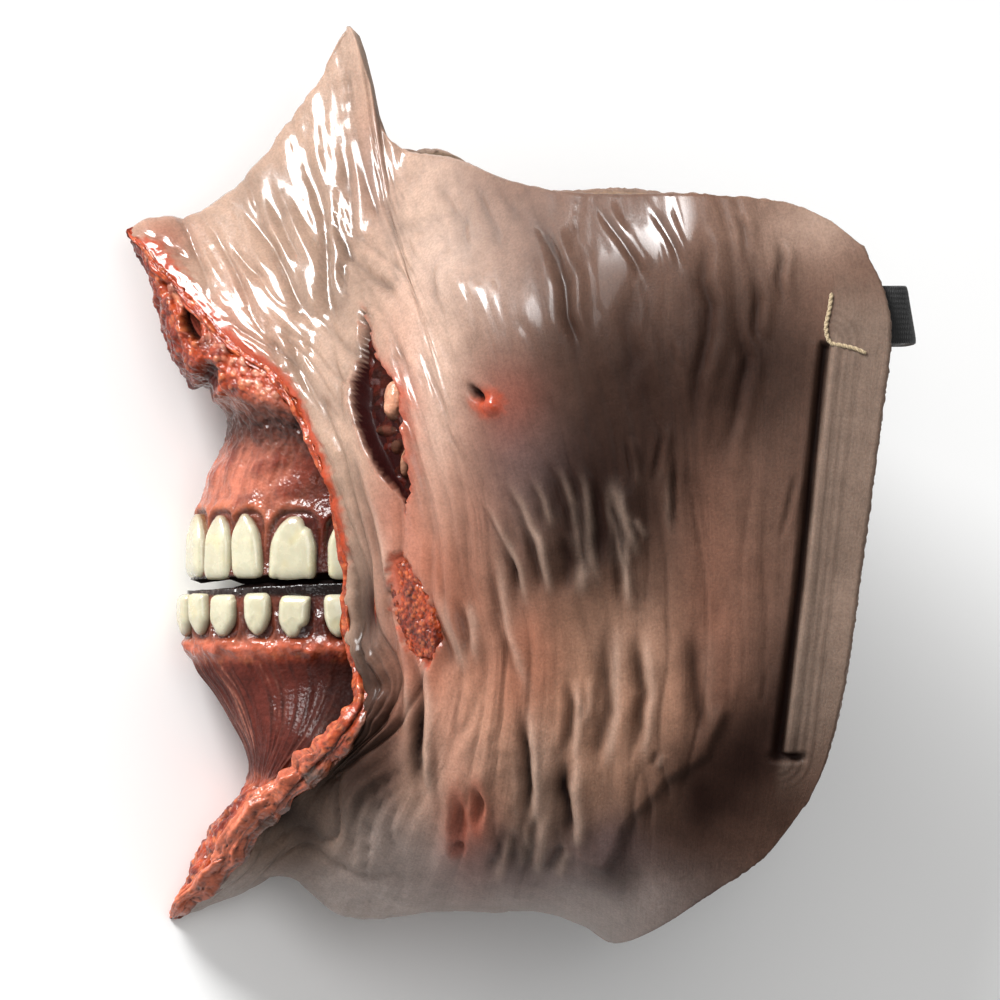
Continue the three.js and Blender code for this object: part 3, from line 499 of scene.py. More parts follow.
def wounds(f, u):
    # The shares of the tear, the graze, the small hole and the low slots; 1 behind the tear, 0 ahead of it
    slash = tearShare(f, u, slashLine, *skin["tearEnds"])
    graze = tearShare(f, u, grazeLine, *skin["grazeEnds"])
    atF, atU, long, tall = skin["hole"]
    lean, cross = (f - atF) * 0.75 + (u - atU) * 0.66, (u - atU) * 0.75 - (f - atF) * 0.66
    hole = np.hypot(lean / long, cross / tall) * (1 + 0.12 * noise(0.7 * f, 0.7 * u, 0.0, 14))
    slots = oval(f, u, *skin["dot"])
    for k, slot in enumerate(skin["slots"]):
        slots = np.minimum(slots, oval(f + 0.7 * noise(0.2 * u, 0.0, k + 1.0, 15), u, *slot))
    return slash, graze, hole, slots, smooth(1.5, -1.5, f - slashLine(u)[0])


def skinRelief(a, b, f, u, y, slash, graze, hole, slots, behind):
    # Strands are noise drawn out down the face: a crease runs where the noise is nought, and a round
    # ridge stands between two creases. A named fold is a sharp crease with a rounded ridge beside it.
    # The hem, where the folds end low at the rear, the tears, the groove and the rim lines are added.
    # Beside the relief it gives where paint stands for light: painted shade in the creases, under the
    # hem, in the groove, its notch and the rim lines, and a painted highlight on the ridges beside the named
    # folds.
    side, lower, nose = y / 26, smooth(105, 62, u), smooth(108, 120, f)
    drift = 0.03 * noise(2.1 * b, 3 * a, side, 3) + 0.011 * noise(7 * b, 9 * a, side, 4)
    few, more, many = skin["strandCounts"]
    broad = noise(few * (a + drift), 1.7 * b, side, 5)
    middle = noise(more * (a + drift), 3.4 * b, 1.5 * side, 6)
    fine = noise(many * (a + 0.7 * drift), 8 * b, 3 * side, 7)
    front = smooth(90, 104, f) * (1 - nose)
    strength = (0.26 + 0.3 * lower + 0.5 * front + 0.24 * nose) * smooth(19, 30, f)
    strength = strength * mix(0.3, 1, smooth(0, 20, u))
    atF, atU = skin["hem"][0]
    calm = smooth(-1, 6, atU - skin["hemSlope"] * (f - atF) - u) * smooth(110, 90, u)
    strength = strength * skin["strands"] * (1 - 0.8 * calm)
    soft = mix(1, 0.35, smooth(84, 66, u) * smooth(106, 98, f))
    creaseBroad, creaseMiddle = peak(broad, 0.075), peak(middle, 0.1)
    relief = strength * (1.4 * np.minimum(np.abs(broad), 0.6) - creaseBroad)
    relief += strength * soft * (0.9 * np.minimum(np.abs(middle), 0.5) - 0.7 * creaseMiddle + 0.3 * fine)
    ink = peak(fine, 0.055) * smooth(0.1, 0.5, strength) * (1 - 0.85 * nose) * soft * soft
    relief -= 0.12 * ink
    # painted shade in the creases of the strands
    creaseShade = 0.7 * mix(0.6, 1, soft) * creaseBroad + 0.5 * soft * creaseMiddle
    creaseShade = strength * creaseShade * (1 - 0.4 * nose) + 0.15 * ink
    crestHighlight = np.zeros(f.shape)
    away = smooth(0, -1, y) * 3.2  # the other side's folds lie a little differently
    foldF = f + away * noise(0.05 * f, 0.05 * u, 4.0, 23)
    foldU = u + 2 * away * noise(0.05 * f, 0.05 * u, 9.0, 24)
    for width, depth, *line in namedFolds:
        off, along = lineDistance(foldF, foldU, line)
        off = off + 0.4 * width * noise(0.16 * f, 0.16 * u, depth, 8)
        ends = depth * smooth(-0.05, 0.35, along) * smooth(1.02, 0.65, along) * skin["folds"]
        cut = np.exp(-((np.abs(off) / width) ** 1.5))
        ridge = bell(-off, 1.9 * width + 0.3, 0.9 * width + 0.25)
        relief += ends * (0.62 * ridge - 0.95 * cut + 0.22 * bell(off, 2.2 * width, width))
        # painted shade in the fold's crease
        creaseShade += ends * (1 - 0.8 * nose) * (0.5 * cut + 0.1 * bell(off, 0.6 * width, 2.6 * width + 0.8))
        # a painted highlight along the ridge beside the fold
        crestHighlight += ends * bell(-off, 1.6 * width + 0.3, 0.5 * width + 0.2)
    off, along = lineDistance(foldF, foldU, skin["hem"])
    off = off + 0.9 * noise(0.12 * f, 0.12 * u, 3.0, 25)
    ends = smooth(0, 0.12, along) * smooth(1, 0.9, along)
    relief += ends * smooth(-1.3, 1.1, off) * peak(np.maximum(off, 0), 9)
    creaseShade += 0.5 * ends * bell(off, -1.2, 1.1)
    relief += 0.6 * noise(0.05 * f, 0.05 * u, side, 9) + 0.4 * lower * noise(0.13 * f, 0.09 * u, side, 26)
    relief += hills(f, u, skin["swellings"])
    # drip-like ends along the lower edge, the lumps behind the torn chin
    drips = smooth(22, 9, u) * smooth(0, 7, u) * smooth(104, 96, f) * smooth(48, 58, f)
    relief += 0.7 * drips * noise(24 * (a + drift), 2 * b, side, 10)
    lump = np.maximum(*(hills(f, u, [(*one, 1)]) for one in skin["chinLumps"]))
    relief += lump * (3 + 1.2 * noise(0.5 * f, 0.4 * u, side, 12))
    # the groove inside the rear edge, its notch, and the fine lines of the rim behind it
    off, along = lineDistance(f, u, skin["groove"])
    ends = smooth(0, 0.015, along) * smooth(1, 0.985, along)
    groove = np.exp(-((np.abs(off) / skin["grooveHalfWidth"]) ** 4)) * ends
    atF, atU, long, tall = skin["notch"]
    notch = np.exp(-(((f - atF) / long) ** 4) - ((u - atU) / tall) ** 4)
    rimLines = sum(bell(off + far + 0.25 * noise(0.1 * u, far, 0.0, 13), 0, 0.32) for far in skin["rimLines"])
    rimLines = rimLines * smooth(24, 34, u) * smooth(140, 122, u)
    relief += 0.45 * ends * bell(np.abs(off), 2, 0.6) - skin["grooveDepth"] * groove - skin["notchDepth"] * notch
    relief += 0.25 * rimLines
    # painted shade in the groove, its notch and the rim lines
    creaseShade += 1.2 * groove + 1.3 * notch + 0.25 * rimLines + 0.35 * ends * bell(off, 2, 1.6)
    # the tears: steep sides, a thick rolled edge
    relief += mix(0.25, 0.5, behind) * bell(slash, 1.12, 0.13) - skin["tearDepth"] * smooth(1.1, 0.62, slash)
    relief -= skin["grazeDepth"] * smooth(1.15, 0.85, graze + 0.35 * noise(0.9 * f, 0.7 * u, 0.0, 17))
    relief += 0.4 * bell(hole, 2.1, 0.8) - skin["holeDepth"] * smooth(1.2, 0.45, hole)
    relief += 0.9 * smooth(1.1, 0.5, oval(f, u, *skin["sore"]))
    relief += 0.5 * bell(slots, 1.7, 0.5) - skin["slotDepth"] * smooth(1.25, 0.4, slots)
    relief = np.maximum(relief, castHollow(f, u) - form["wall"] + 0.5)
    return relief, np.clip(creaseShade, 0, 1.5), np.clip(crestHighlight, 0, 1.2)


airbrush = [  # soft spots of paint: f, u, length forward, length up, paint, strength
    (93, 134, 6, 22, "pale", 0.35), (84, 133, 7, 8, "pale", 0.2), (64, 122, 8, 17, "rear", 0.7),
    # the smoky brown spots are partly airbrushed tone and partly painted shade, where the cheek turns from the
    # light and over lit fold ridges
    (60, 137, 10, 10, "rear", 0.6), (60, 130, 9, 12, "smokeAndShade", 0.25), (63, 92, 7, 8, "smokeAndShade", 0.5),
    (78, 104, 6, 9, "dusk", 0.35), (68, 112, 7, 10, "smokeAndShade", 0.25), (74, 92, 8, 9, "dusk", 0.55),
    (61, 86, 10, 13, "smokeAndShade", 0.85), (59, 75, 3.5, 12, "smokeAndShade", 0.7), (66, 66, 5, 12, "smokeAndShade", 0.35),
    (38, 122, 7, 9, "smokeAndShade", 0.65), (29, 114, 8, 8, "smokeAndShade", 0.65), (53, 112, 7, 12, "smokeAndShade", 0.7),
    (45, 106, 18, 10, "smokeAndShade", 0.6), (66, 118, 6, 9, "smokeAndShade", 0.3), (50, 96, 8, 10, "smokeAndShade", 0.55),
    (40, 98, 6, 9, "smokeAndShade", 0.3), (27, 96, 5, 12, "smokeAndShade", 0.15), (50, 76, 6, 8, "smokeAndShade", 0.3),
    (45, 62, 5, 9, "smokeAndShade", 0.2), (59.4, 40, 4, 10, "pale", 0.45), (51, 48, 3, 9, "pale", 0.25),
    (88, 44, 6, 9, "pale", 0.3), (86, 36, 9, 15, "warm", 1), (64, 44, 8, 13, "warm", 0.85),
    (52, 44, 8, 13, "warm", 0.8), (70, 28, 7, 9, "warm", 0.35), (57, 34, 7, 8, "warm", 0.35),
    (76, 52, 6, 9, "halo", 0.4), (35, 60, 6, 20, "halo", 0.12), (70, 10, 16, 5, "dusk", 0.6),
    (57, 15, 5, 4, "dusk", 0.8), (84, 8, 12, 5, "dusk", 0.5), (37, 24, 10, 8, "umber", 1),
    (36, 34, 6, 5, "umber", 0.5), (29, 32, 7, 6, "umber", 0.9), (45, 17, 8, 6, "umber", 0.3),
    (22, 46, 5, 9, "umber", 0.7), (29, 39, 6, 6, "umber", 0.5), (12, 38, 4, 8, "umber", 0.35),
    # the near-black brown spots behind the torn chin and its lumps are their painted shadow
    (24, 36, 4, 6, "umber", 0.6), (56, 8, 4, 3, "umber", 0.5), (104.5, 36, 3, 12, "shadeBrown", 0.95),
    (107.7, 63, 1.5, 6, "shadeBrown", 0.95), (106.5, 42, 3, 8, "shadeBrown", 0.5), (121, 21, 10, 9, "shadeBrown", 0.95),
    (106, 38, 4, 8, "shadeBrown", 0.75), (105.5, 29, 3.5, 7, "shadeBrown", 0.8), (111, 31, 4.5, 8, "shadeBrown", 0.9),
    (22, 117, 7, 9, "smokeAndShade", 0.5), (60, 85, 6, 6, "smokeAndShade", 0.5), (92, 33, 7, 10, "pale", 0.4),
    # the pale grey spot under the jaw is painted light
    (98, 12, 10, 6, "under", 0.5), (93, 62, 7, 24, "halo", 0.5), (80.5, 106, 5.5, 6, "flesh", 0.22),
    (100, 104, 4, 14, "flesh", 0.3), (94, 106, 4, 14, "pale", 0.45), (98, 62, 4, 12, "flesh", 0.4),
    (102, 84, 4, 9, "flesh", 0.28), (86.5, 19, 4, 7, "flesh", 0.4), (151, 139, 5, 4, "flesh", 0.35),
    (112, 178, 3, 10, "pale", 0.25), (107, 158, 4, 10, "flesh", 0.12), (108, 48, 3, 6, "smokeAndShade", 0.6),
    (136, 118, 6, 8, "flesh", 0.3), (72, 27, 3, 8, "pale", 0.4), (60, 84, 5, 8, "smokeAndShade", 0.6),
    (88.5, 64, 3, 8, "smokeAndShade", 0.4), (16, 143, 9, 6, "pale", 0.3), (106, 152, 3, 6, "dusk", 0.4),
]


def skinColour(a, b, f, u, creaseShade, crestHighlight, slash, graze, hole, slots, behind):
    # From pale at the front to brown at the rear, the rear partly painted shade where the cheek turns
    # from the light; airbrushed spots over it, dark paint in the creases as painted shade and a little
    # pale paint on the ridges as a painted highlight; the torn edge of the nose fades to flesh
    colour = layered(
        paint("rear"), "middle", smooth(58, 90, f), "front", smooth(84, 104, f),
        # darker low at the rear, partly painted shade where the skin turns under; the pale grey under the jaw is
        # painted light
        "foot", 0.55 * smooth(44, 14, u) * smooth(110, 80, f) * smooth(80, 60, f),
        "under", 0.85 * smooth(16, 3, u) * smooth(20, 75, f),
        "smokeAndShade", 0.2 * smooth(0, 0.6, noise(0.07 * f, 0.05 * u, 0.0, 27)),
    )
    for *spot, name, strength in airbrush:
        drift = 0.35 * noise(0.12 * f, 0.08 * u, spot[0], 16)
        colour = layered(colour, name, hills(f, u, [(*spot, strength)]) * (1 + drift))
    atF, atU = skin["groove"][0]
    rim = smooth(0.5, -1.5, f - atF - skin["grooveSlope"] * (atU - u)) * smooth(136, 120, u) * smooth(20, 50, u)
    ragged = 0.25 * noise(0.9 * f, 0.9 * u, 0.0, 17)
    torn = np.exp(-a / 0.022) * smooth(0.02, 0.08, b) * smooth(0.5, 0.42, b)
    halo = peak(np.maximum(slash + 0.5 * ragged - 1, 0), mix(0.12, 0.5, behind))
    # dark blood in the tear and up its front wall: partly the wound's paint, partly painted shade of the
    # undercut wall
    bloodAndWallShade = smooth(mix(0.2, 0.12, behind), 0, slash + 0.15 * ragged - mix(0.93, 0.9, behind))
    return layered(
        # pale on the fold ridges: a painted highlight
        colour, "flange", 0.8 * rim, "pale", 0.3 * crestHighlight * smooth(30, 60, f) * smooth(96, 78, u),
        # dark brown where the creases, the groove and its notch lie: painted shade
        "shadeBrown", 0.72 * creaseShade, "flesh", 0.95 * smooth(0.25, 0.75, torn + 0.8 * ragged),
        "flesh", mix(0.25, 0.8, behind) * halo, "blood", bloodAndWallShade,
        "flesh", 0.7 * smooth(1.25, 0.8, graze + 1.6 * ragged),
        "flesh", 0.85 * smooth(1.5, 0.35, oval(f, u, *skin["soreRed"]) + ragged),
        "blood", smooth(1.2, 0.6, hole), "flesh", 0.3 * smooth(2.2, 1, slots + ragged),
        "blood", 0.4 * smooth(1.0, 0.3, slots),
    )


def halfSkin(side, rows):
    a = np.interp(np.arange(skin["columns"][-1] + 1), skin["columns"], skin["shares"])
    a, b = np.meshgrid(a, np.linspace(0, 1, rows + 1), indexing="ij")
    f, u = sideView(a, shareOf(a, b))
    if side < 0:  # the far edge of the cheek stands a little higher
        u = u + sum(rise * bell(f, at, wide) for at, wide, rise in skin["farEdge"]) * np.exp(-b / 0.06)
    onMiddle = ((b == 0) & (a <= form["browShare"])) | ((b == 1) & (a <= form["throatShare"]))
    y = np.where(onMiddle, 0, np.maximum(halfWidth(f, u), 0.4))
    base, normal = np.stack([f, y, u], -1), slopeNormals(f, y, u)
    shares = wounds(f, u)
    relief, creaseShade, crestHighlight = skinRelief(a, b, f, u, side * y, *shares)
    curl = np.exp(-a / 0.018) * smooth(0.25, 0.4, b) * smooth(0.99, 0.93, b)
    torn = np.exp(-a / 0.03) * smooth(0.03, 0.09, b) * smooth(0.5, 0.42, b)
    relief = relief + torn * (0.9 * granular(base, 1.6, 31)[0] - 0.9 * np.exp(-a / 0.008))
    relief = relief * mix(0.25, 1, smooth(0, 0.02, a))
    relief = relief + curl * (0.7 + 1.5 * noise(u / 4.2, side * 2.0, 0.0, 22))
    outer = base + normal * relief[..., None]
    coarse = skin["coarser"]
    inner = (base + normal * (castHollow(f, u) - form["wall"])[..., None])[:: coarse[0], :: coarse[1]]
    away = unit(np.stack([outer[0] - outer[3], outer[-1] - outer[-4]]))
    ragged = noise(0.55 * f, 0.55 * u, 2.0, 18) + 0.6 * noise(1.4 * f, 1.4 * u, 2.0, 19)
    fray = np.where(a < 0.2, 0.95 * np.exp(-a / 0.012), skin["rimRoughness"] * 0.4 * np.exp((a - 1) / 0.006))
    way = np.where(a[..., None] < 0.5, away[0], away[1])
    outer = outer + way * (ragged * fray * ~onMiddle)[..., None]
    brow, throat, last = skin["columns"][2], skin["columns"][4], skin["columns"][-1]
    colour = skinColour(a, b, f, u, creaseShade, crestHighlight, *shares)
    nose, slash = smooth(104, 118, f) * smooth(90, 110, u), shares[0]
    gloss = 0.2 + 0.7 * nose + 0.5 * bell(f, 100, 7) * smooth(40, 60, u) - 0.2 * smooth(50, 25, f)
    gloss = gloss + hills(f, u, skin["wet"]) + 0.5 * smooth(1.1, 0.5, oval(f, u, *skin["sore"]))
    gloss = gloss * mix(0.05, 1, smooth(0.88, 1.08, slash))
    paths, rimColours = [], []
    freeRim, tornRim = rimPath((brow, 0), (last, 0), (last, rows), (throat, rows)), rimPath((0, rows), (0, 0))
    for path, tint, share in ((freeRim, "pale", 0.25), (tornRim, "flesh", 0.7)):
        i, j = path.T  # a rounded rim: two rings of points between the outer edge and the inner one
        inI, inJ = np.clip(i, 3, last - 3), j if path is tornRim else np.clip(j, 3, rows - 3)
        rim, square = outer[i, j], normal[i, j]
        out = rim - outer[inI, inJ]
        out = unit(out - square * np.sum(out * square, -1, keepdims=True))
        rough = skin["rimRoughness"] * noise(0.8 * rim[:, 0], 0.8 * rim[:, 2], rim[:, 1], 20)[:, None]
        flat = np.where(np.abs(rim[:, 1:2]) < 1e-6, [1, 0, 1], [1, 1, 1])
        high = rim + out * flat * (0.45 + rough) - square * 0.6
        low = rim + out * flat * (0.45 - rough) - square * (form["wall"] - 0.7)
        paths.append((path, [high * flat, low * flat]))
        rimColours += [layered(colour[i, j], tint, np.full(len(path), share))] * 2
    points, faces = shellPiece(outer, inner, coarse, paths, side > 0)
    bare = np.tile(paint("bare"), (inner[..., 0].size, 1))
    colour = np.concatenate([colour.reshape(-1, 3), bare, *rimColours])
    number = np.arange(len(points))
    inside = np.where((number >= a.size) & (number < a.size + len(bare)), 1, 0)
    gloss = np.concatenate([np.clip(gloss, 0, 1).ravel(), np.full(len(points) - a.size, 0.12)])
    uv = np.stack([a.ravel() * 0.15, b.ravel() * 0.17], -1)  # about metres over the skin
    uv = np.concatenate([uv, points[a.size :, [0, 2]] / perMetre])
    return points * [1, side, 1], faces, colour, gloss, inside, uv


def makeSkin(material):
    left, right = halfSkin(1, skin["rowsLeft"]), halfSkin(-1, skin["rowsRight"])
    points, colour, gloss, inside, uv = (np.concatenate([left[n], right[n]]) for n in (0, 2, 3, 4, 5))
    faces = left[1] + [block + len(left[0]) for block in right[1]]
    addPiece("mask_skin", points, faces, material, colour, uv, gloss=gloss, inside=inside)


# The flesh of the muzzle: nose, gums and chin
flesh = dict(
    columns=150, rowsUpper=236, rowsLower=190, coarser=4, archHalfWidth=24.6, archBack=108, archShare=0.72,
    pocketDepth=6, slitLevel=68, slitHeight=2.4, openFrom=136, rollSteps=8, granules=1.0, fibres=1.0,
    nostril=(144.6, 122.6, 1.9, 3.6, 4.2), lowHollow=(141, 110.8, 2.2, 4.2),
)
upperTeeth = dict(
    level=76.1, height=13.4, arcs=[5.6, 15.2, 22.7, 33.2, 45], widths=[9.4, 7.4, 7, 10, 9], root=1,
    lean=[0, 0.02, -0.05, 0.03, 0], low=[0.1, -0.2, 0.1, -0.35, 0],
    # notches in the outlines: tooth number, where round it (turns), width, depth
    chips=[
        (3, 0.13, 0.025, 0.12), (3, 0.78, 0.03, 0.07), (3, 0.7, 0.02, 0.05), (1, 0.8, 0.03, 0.05),
        (4, 0.2, 0.03, 0.1),
    ],
)
lowerTeeth = dict(
    level=61.8, height=8.8, arcs=[4.6, 11.8, 19, 27.2, 35.2, 44.5], widths=[6.6, 5.4, 6.2, 5.8, 6.6, 6],
    root=-1, lean=[0.02, -0.04, 0.03, 0, 0.05, 0], low=[0, 0.3, 0, 0.3, -0.2, 0],
    chips=[(4, 0.9, 0.03, 0.16), (0, 0.8, 0.03, 0.05), (2, 0.1, 0.03, 0.05)],
)


def archness(share):  # 1 where the flesh is an arch of gum with a pocket beside it, 0 where it bulges
    return smooth(0.24, 0.34, share) * smooth(0.74, 0.6, share)


def edgePoints(share):  # where the flesh meets the skin: under the torn edge, and behind it at the mouth
    table = np.linspace(0, 1, 801)
    b = np.interp(share, shareOf(0 * table, table), table)
    rim, square = skinPlace(0 * b, b)
    deep, deepSquare = skinPlace(0 * b + 0.05, b)
    return mix(rim - 0.9 * square, deep - 1.5 * deepSquare, archness(share)[..., None])


def fleshPoint(share, across, edge):  # across 0 in the middle plane, 1 at the torn edge
    f, u = fleshLine(share)
    arch, back, wide = flesh["archShare"], flesh["archBack"], flesh["archHalfWidth"]
    turn, sweep = across * pi / 2, np.clip(across / arch, 0, 1) * pi / 2
    cosine, sweepCosine = (np.maximum(np.cos(angle), 0) for angle in (turn, sweep))
    bulgeF, bulgeY = mix(edge[..., 0], f, cosine**0.9), edge[..., 1] * np.sin(turn) ** 0.9
    t = np.clip((across - arch) / (1 - arch), 0, 1)
    weights = [(1 - t) ** 3, 3 * t * (1 - t) ** 2, 3 * t * t * (1 - t), t**3]

    def pocket(*corners):  # a curve led by four corners, from the arch to the torn edge
        return sum(w * v for w, v in zip(weights, corners))

    pocketF = pocket(back, back - flesh["pocketDepth"], edge[..., 0] - 3, edge[..., 0])
    pocketY = pocket(wide, wide + 1, edge[..., 1] - 5, edge[..., 1])
    archF = np.where(across <= arch, mix(back, f, sweepCosine**0.93), pocketF)
    archY = np.where(across <= arch, wide * np.sin(sweep) ** 0.93, pocketY)
    w = archness(share)
    return np.stack([mix(bulgeF, archF, w), mix(bulgeY, archY, w), mix(u, edge[..., 2], across**1.5)], -1)


def gumLine(level):  # the gum at one level, from the middle to the corner of the mouth
    table = np.linspace(0.3, 0.62, 1200)
    share = np.interp(-level, -fleshLine(table)[1], table)
    f, u = tornEdge(share)
    across = np.linspace(0, flesh["archShare"], 61)
    edge = np.broadcast_to([f, halfWidth(f, u), u], (61, 3))
    line = fleshPoint(share + 0 * across, across, edge)[:, :2]
    return line, runLength(line)


def collars(arc, u):  # the swollen lip of gum round each root, and the ditch between it and the tooth
    lip, ditch, under = np.zeros((3,) + arc.shape)
    for teeth in (upperTeeth, lowerTeeth):
        for at, width in zip(teeth["arcs"], teeth["widths"]):
            x = (np.abs(arc) - at) / (width / 2)
            z = (u - teeth["level"]) / (teeth["height"] / 2) * teeth["root"]
            far = (np.abs(x) ** 3.2 + np.abs(z) ** 3.2) ** (1 / 3.2)
            lip = np.maximum(lip, bell(far, 1.25, 0.11) * smooth(-0.35, 0.35, z))
            ditch = np.maximum(ditch, bell(far, 1.05, 0.06) * smooth(-1.3, 0.2, z))
            under = np.maximum(under, smooth(1, 0.85, far))
    return lip, ditch, under


def fleshLook(share, across, arc, p):
    # Relief and colour by region: granules on the nose and chin, gums with collars round the teeth,
    # a hollow over the gum painted dark, fibres drawn down the chin, and pockets beside the arch.
    # The dark paint in the hollow, the pockets, the nostril, the slit and round the teeth is painted
    # shade, and the lighter paint on the bead tops and the collars is a painted highlight
    f, y, u = np.moveaxis(p, -1, 0)
    away = np.abs(across)
    nose, chin = smooth(0.265, 0.215, share), smooth(0.72, 0.79, share)
    muscle = smooth(0.556, 0.585, share) * (1 - chin)
    sill = bell(u + 0.5 * np.cos(arc * 0.85), 55, 1.2) * smooth(0.76, 0.7, away) * smooth(0.5, 0.52, share)
    pocket = smooth(0.66, 0.76, away) * archness(share)
    ends = np.maximum(nose, chin)
    rough = ends + smooth(0.93, 0.98, away) * (1 - ends)
    gum, hollow = (1 - nose) * (1 - chin) * (1 - muscle), bell(share, 0.283, 0.024) * (1 - nose)
    big, beadGapShade, tint = granular(p, 1.5, 31)
    small = granular(p, 0.8, 32)[0]
    lumps, fine = noise(f / 5, y / 5, u / 5, 33), noise(f / 1.6, y / 1.6, u / 1.6, 34)
    pits = smooth(0.25, 0.7, noise(f / 3.4, y / 3.4, u / 4.5, 35))
    granules = flesh["granules"] * (0.6 * big + 0.32 * small + 1.1 * lumps + 0.3 * fine - 0.4)
    relief = rough * (granules - 1.2 * pits)
    lines = noise(0.9 * arc, 0.09 * u, 0.0, 36)
    lip, ditch, under = collars(arc, u)
    relief += gum * (0.13 * lines + 0.6 * lumps + 0.15 * fine + 0.5 * lip - 0.55 * ditch - 0.4 * under)
    relief += 1.1 * sill * (1 + 0.3 * fine) - hollow * (1.8 - 0.6 * big - 0.4 * small)
    fibre = noise(30 * across + 2.4 * noise(5 * share, 3 * across, 0.0, 37), 6 * share, 0.0, 38)
    strand = noise(64 * across, 10 * share, 0.0, 39)
    relief += muscle * (1 - pocket) * flesh["fibres"] * (0.5 * (0.35 - np.abs(fibre)) + 0.15 * strand)
    atF, atU, wide, tall, depth = flesh["nostril"]
    nostril = oval(f - 0.25 * (u - atU), u, atF, atU, wide, tall)
    relief += 0.6 * bell(nostril, 1.35, 0.25) - depth * smooth(1.15, 0.45, nostril)
    lowHollow = oval(f, u, *flesh["lowHollow"])
    relief += 0.4 * bell(lowHollow, 1.35, 0.25) - 1.8 * smooth(1.15, 0.4, lowHollow)
    # colour: of the granules, then of the gums, then of the fibres
    front = smooth(112, 136, f)
    nearTeeth = bell(u, 75, 7) * smooth(0.3, 0.36, share) + smooth(0.5, 0.52, share) * smooth(55, 58, u)
    gumColour = layered(
        paint("gumRear"), "gum", front, "red", 0.3 * smooth(0.0, 0.5, lines) + 0.45 * smooth(0, 0.5, lumps),
        # a painted highlight on the swollen collars; painted shade in the ditch round each tooth and under it
        "light", 0.35 * lip * front, "darkAndShade", 0.8 * ditch + 0.6 * under, "gumRear", 0.6 * nearTeeth,
        mix(paint("orange"), paint("gum"), 0.4), 0.85 * sill,
        # darker towards the slit and black in it: painted shade of the gap
        "darkAndShade", 0.45 * smooth(78, 70, u) * smooth(0.4, 0.44, share) * smooth(55.5, 58.5, u),
        "blackAndShade", 0.95 * smooth(2.9, 1.7, np.abs(u - flesh["slitLevel"])),
    )
    fibreColour = layered(
        paint("muscle"),
        "fibre", 0.62 * peak(fibre, 0.07) * smooth(-0.2, 0.4, noise(9 * across, 2 * share, 0.0, 40)),
        "darkAndShade", 0.6 * smooth(0.0, 0.5, strand), "darkAndShade", smooth(130, 112, f),
    )
    deep = pocket * smooth(0.99, 0.93, away)
    colour = layered(
        paint("orange"), "red", smooth(-0.1, 0.5, lumps),
        # lighter on the bead tops, and paler near the torn edge of the nose: painted highlights
        "light", 0.65 * smooth(0.45, 0.9, big) * smooth(0.15, 0.75, tint),
        "pale", 0.45 * nose * smooth(0.6, 0.97, away) * smooth(0.3, 0.85, big),
        # darker red towards the middle of the nose flesh: partly painted shade
        "red", 0.7 * nose * smooth(0.62, 0.3, away),
        # darker between the beads and in the low places among the lumps: painted shade
        "darkAndShade", 0.7 * beadGapShade * (1 - small) + 0.5 * smooth(0.3, 0.75, -lumps),
        gumColour, gum * (1 - smooth(0.9, 0.97, away) * 0.8),
        fibreColour, muscle * smooth(0.98, 0.93, away) * (1 - 0.8 * sill),
        # painted shade: dark in the hollow over the gum and in the cavity below it, black deep in the pockets
        # and in the nostril
        "darkAndShade", 0.9 * hollow, "gumRear", 0.85 * smooth(1.15, 0.6, lowHollow), "blackAndShade", 0.94 * deep,
        "blackAndShade", smooth(1.3, 0.75, nostril),
    )
    dry = np.clip(0.8 * muscle * (1 - sill) + deep + 0.3 * hollow + 0.4 * smooth(120, 112, f), 0, 1)
    return relief, colour, dry


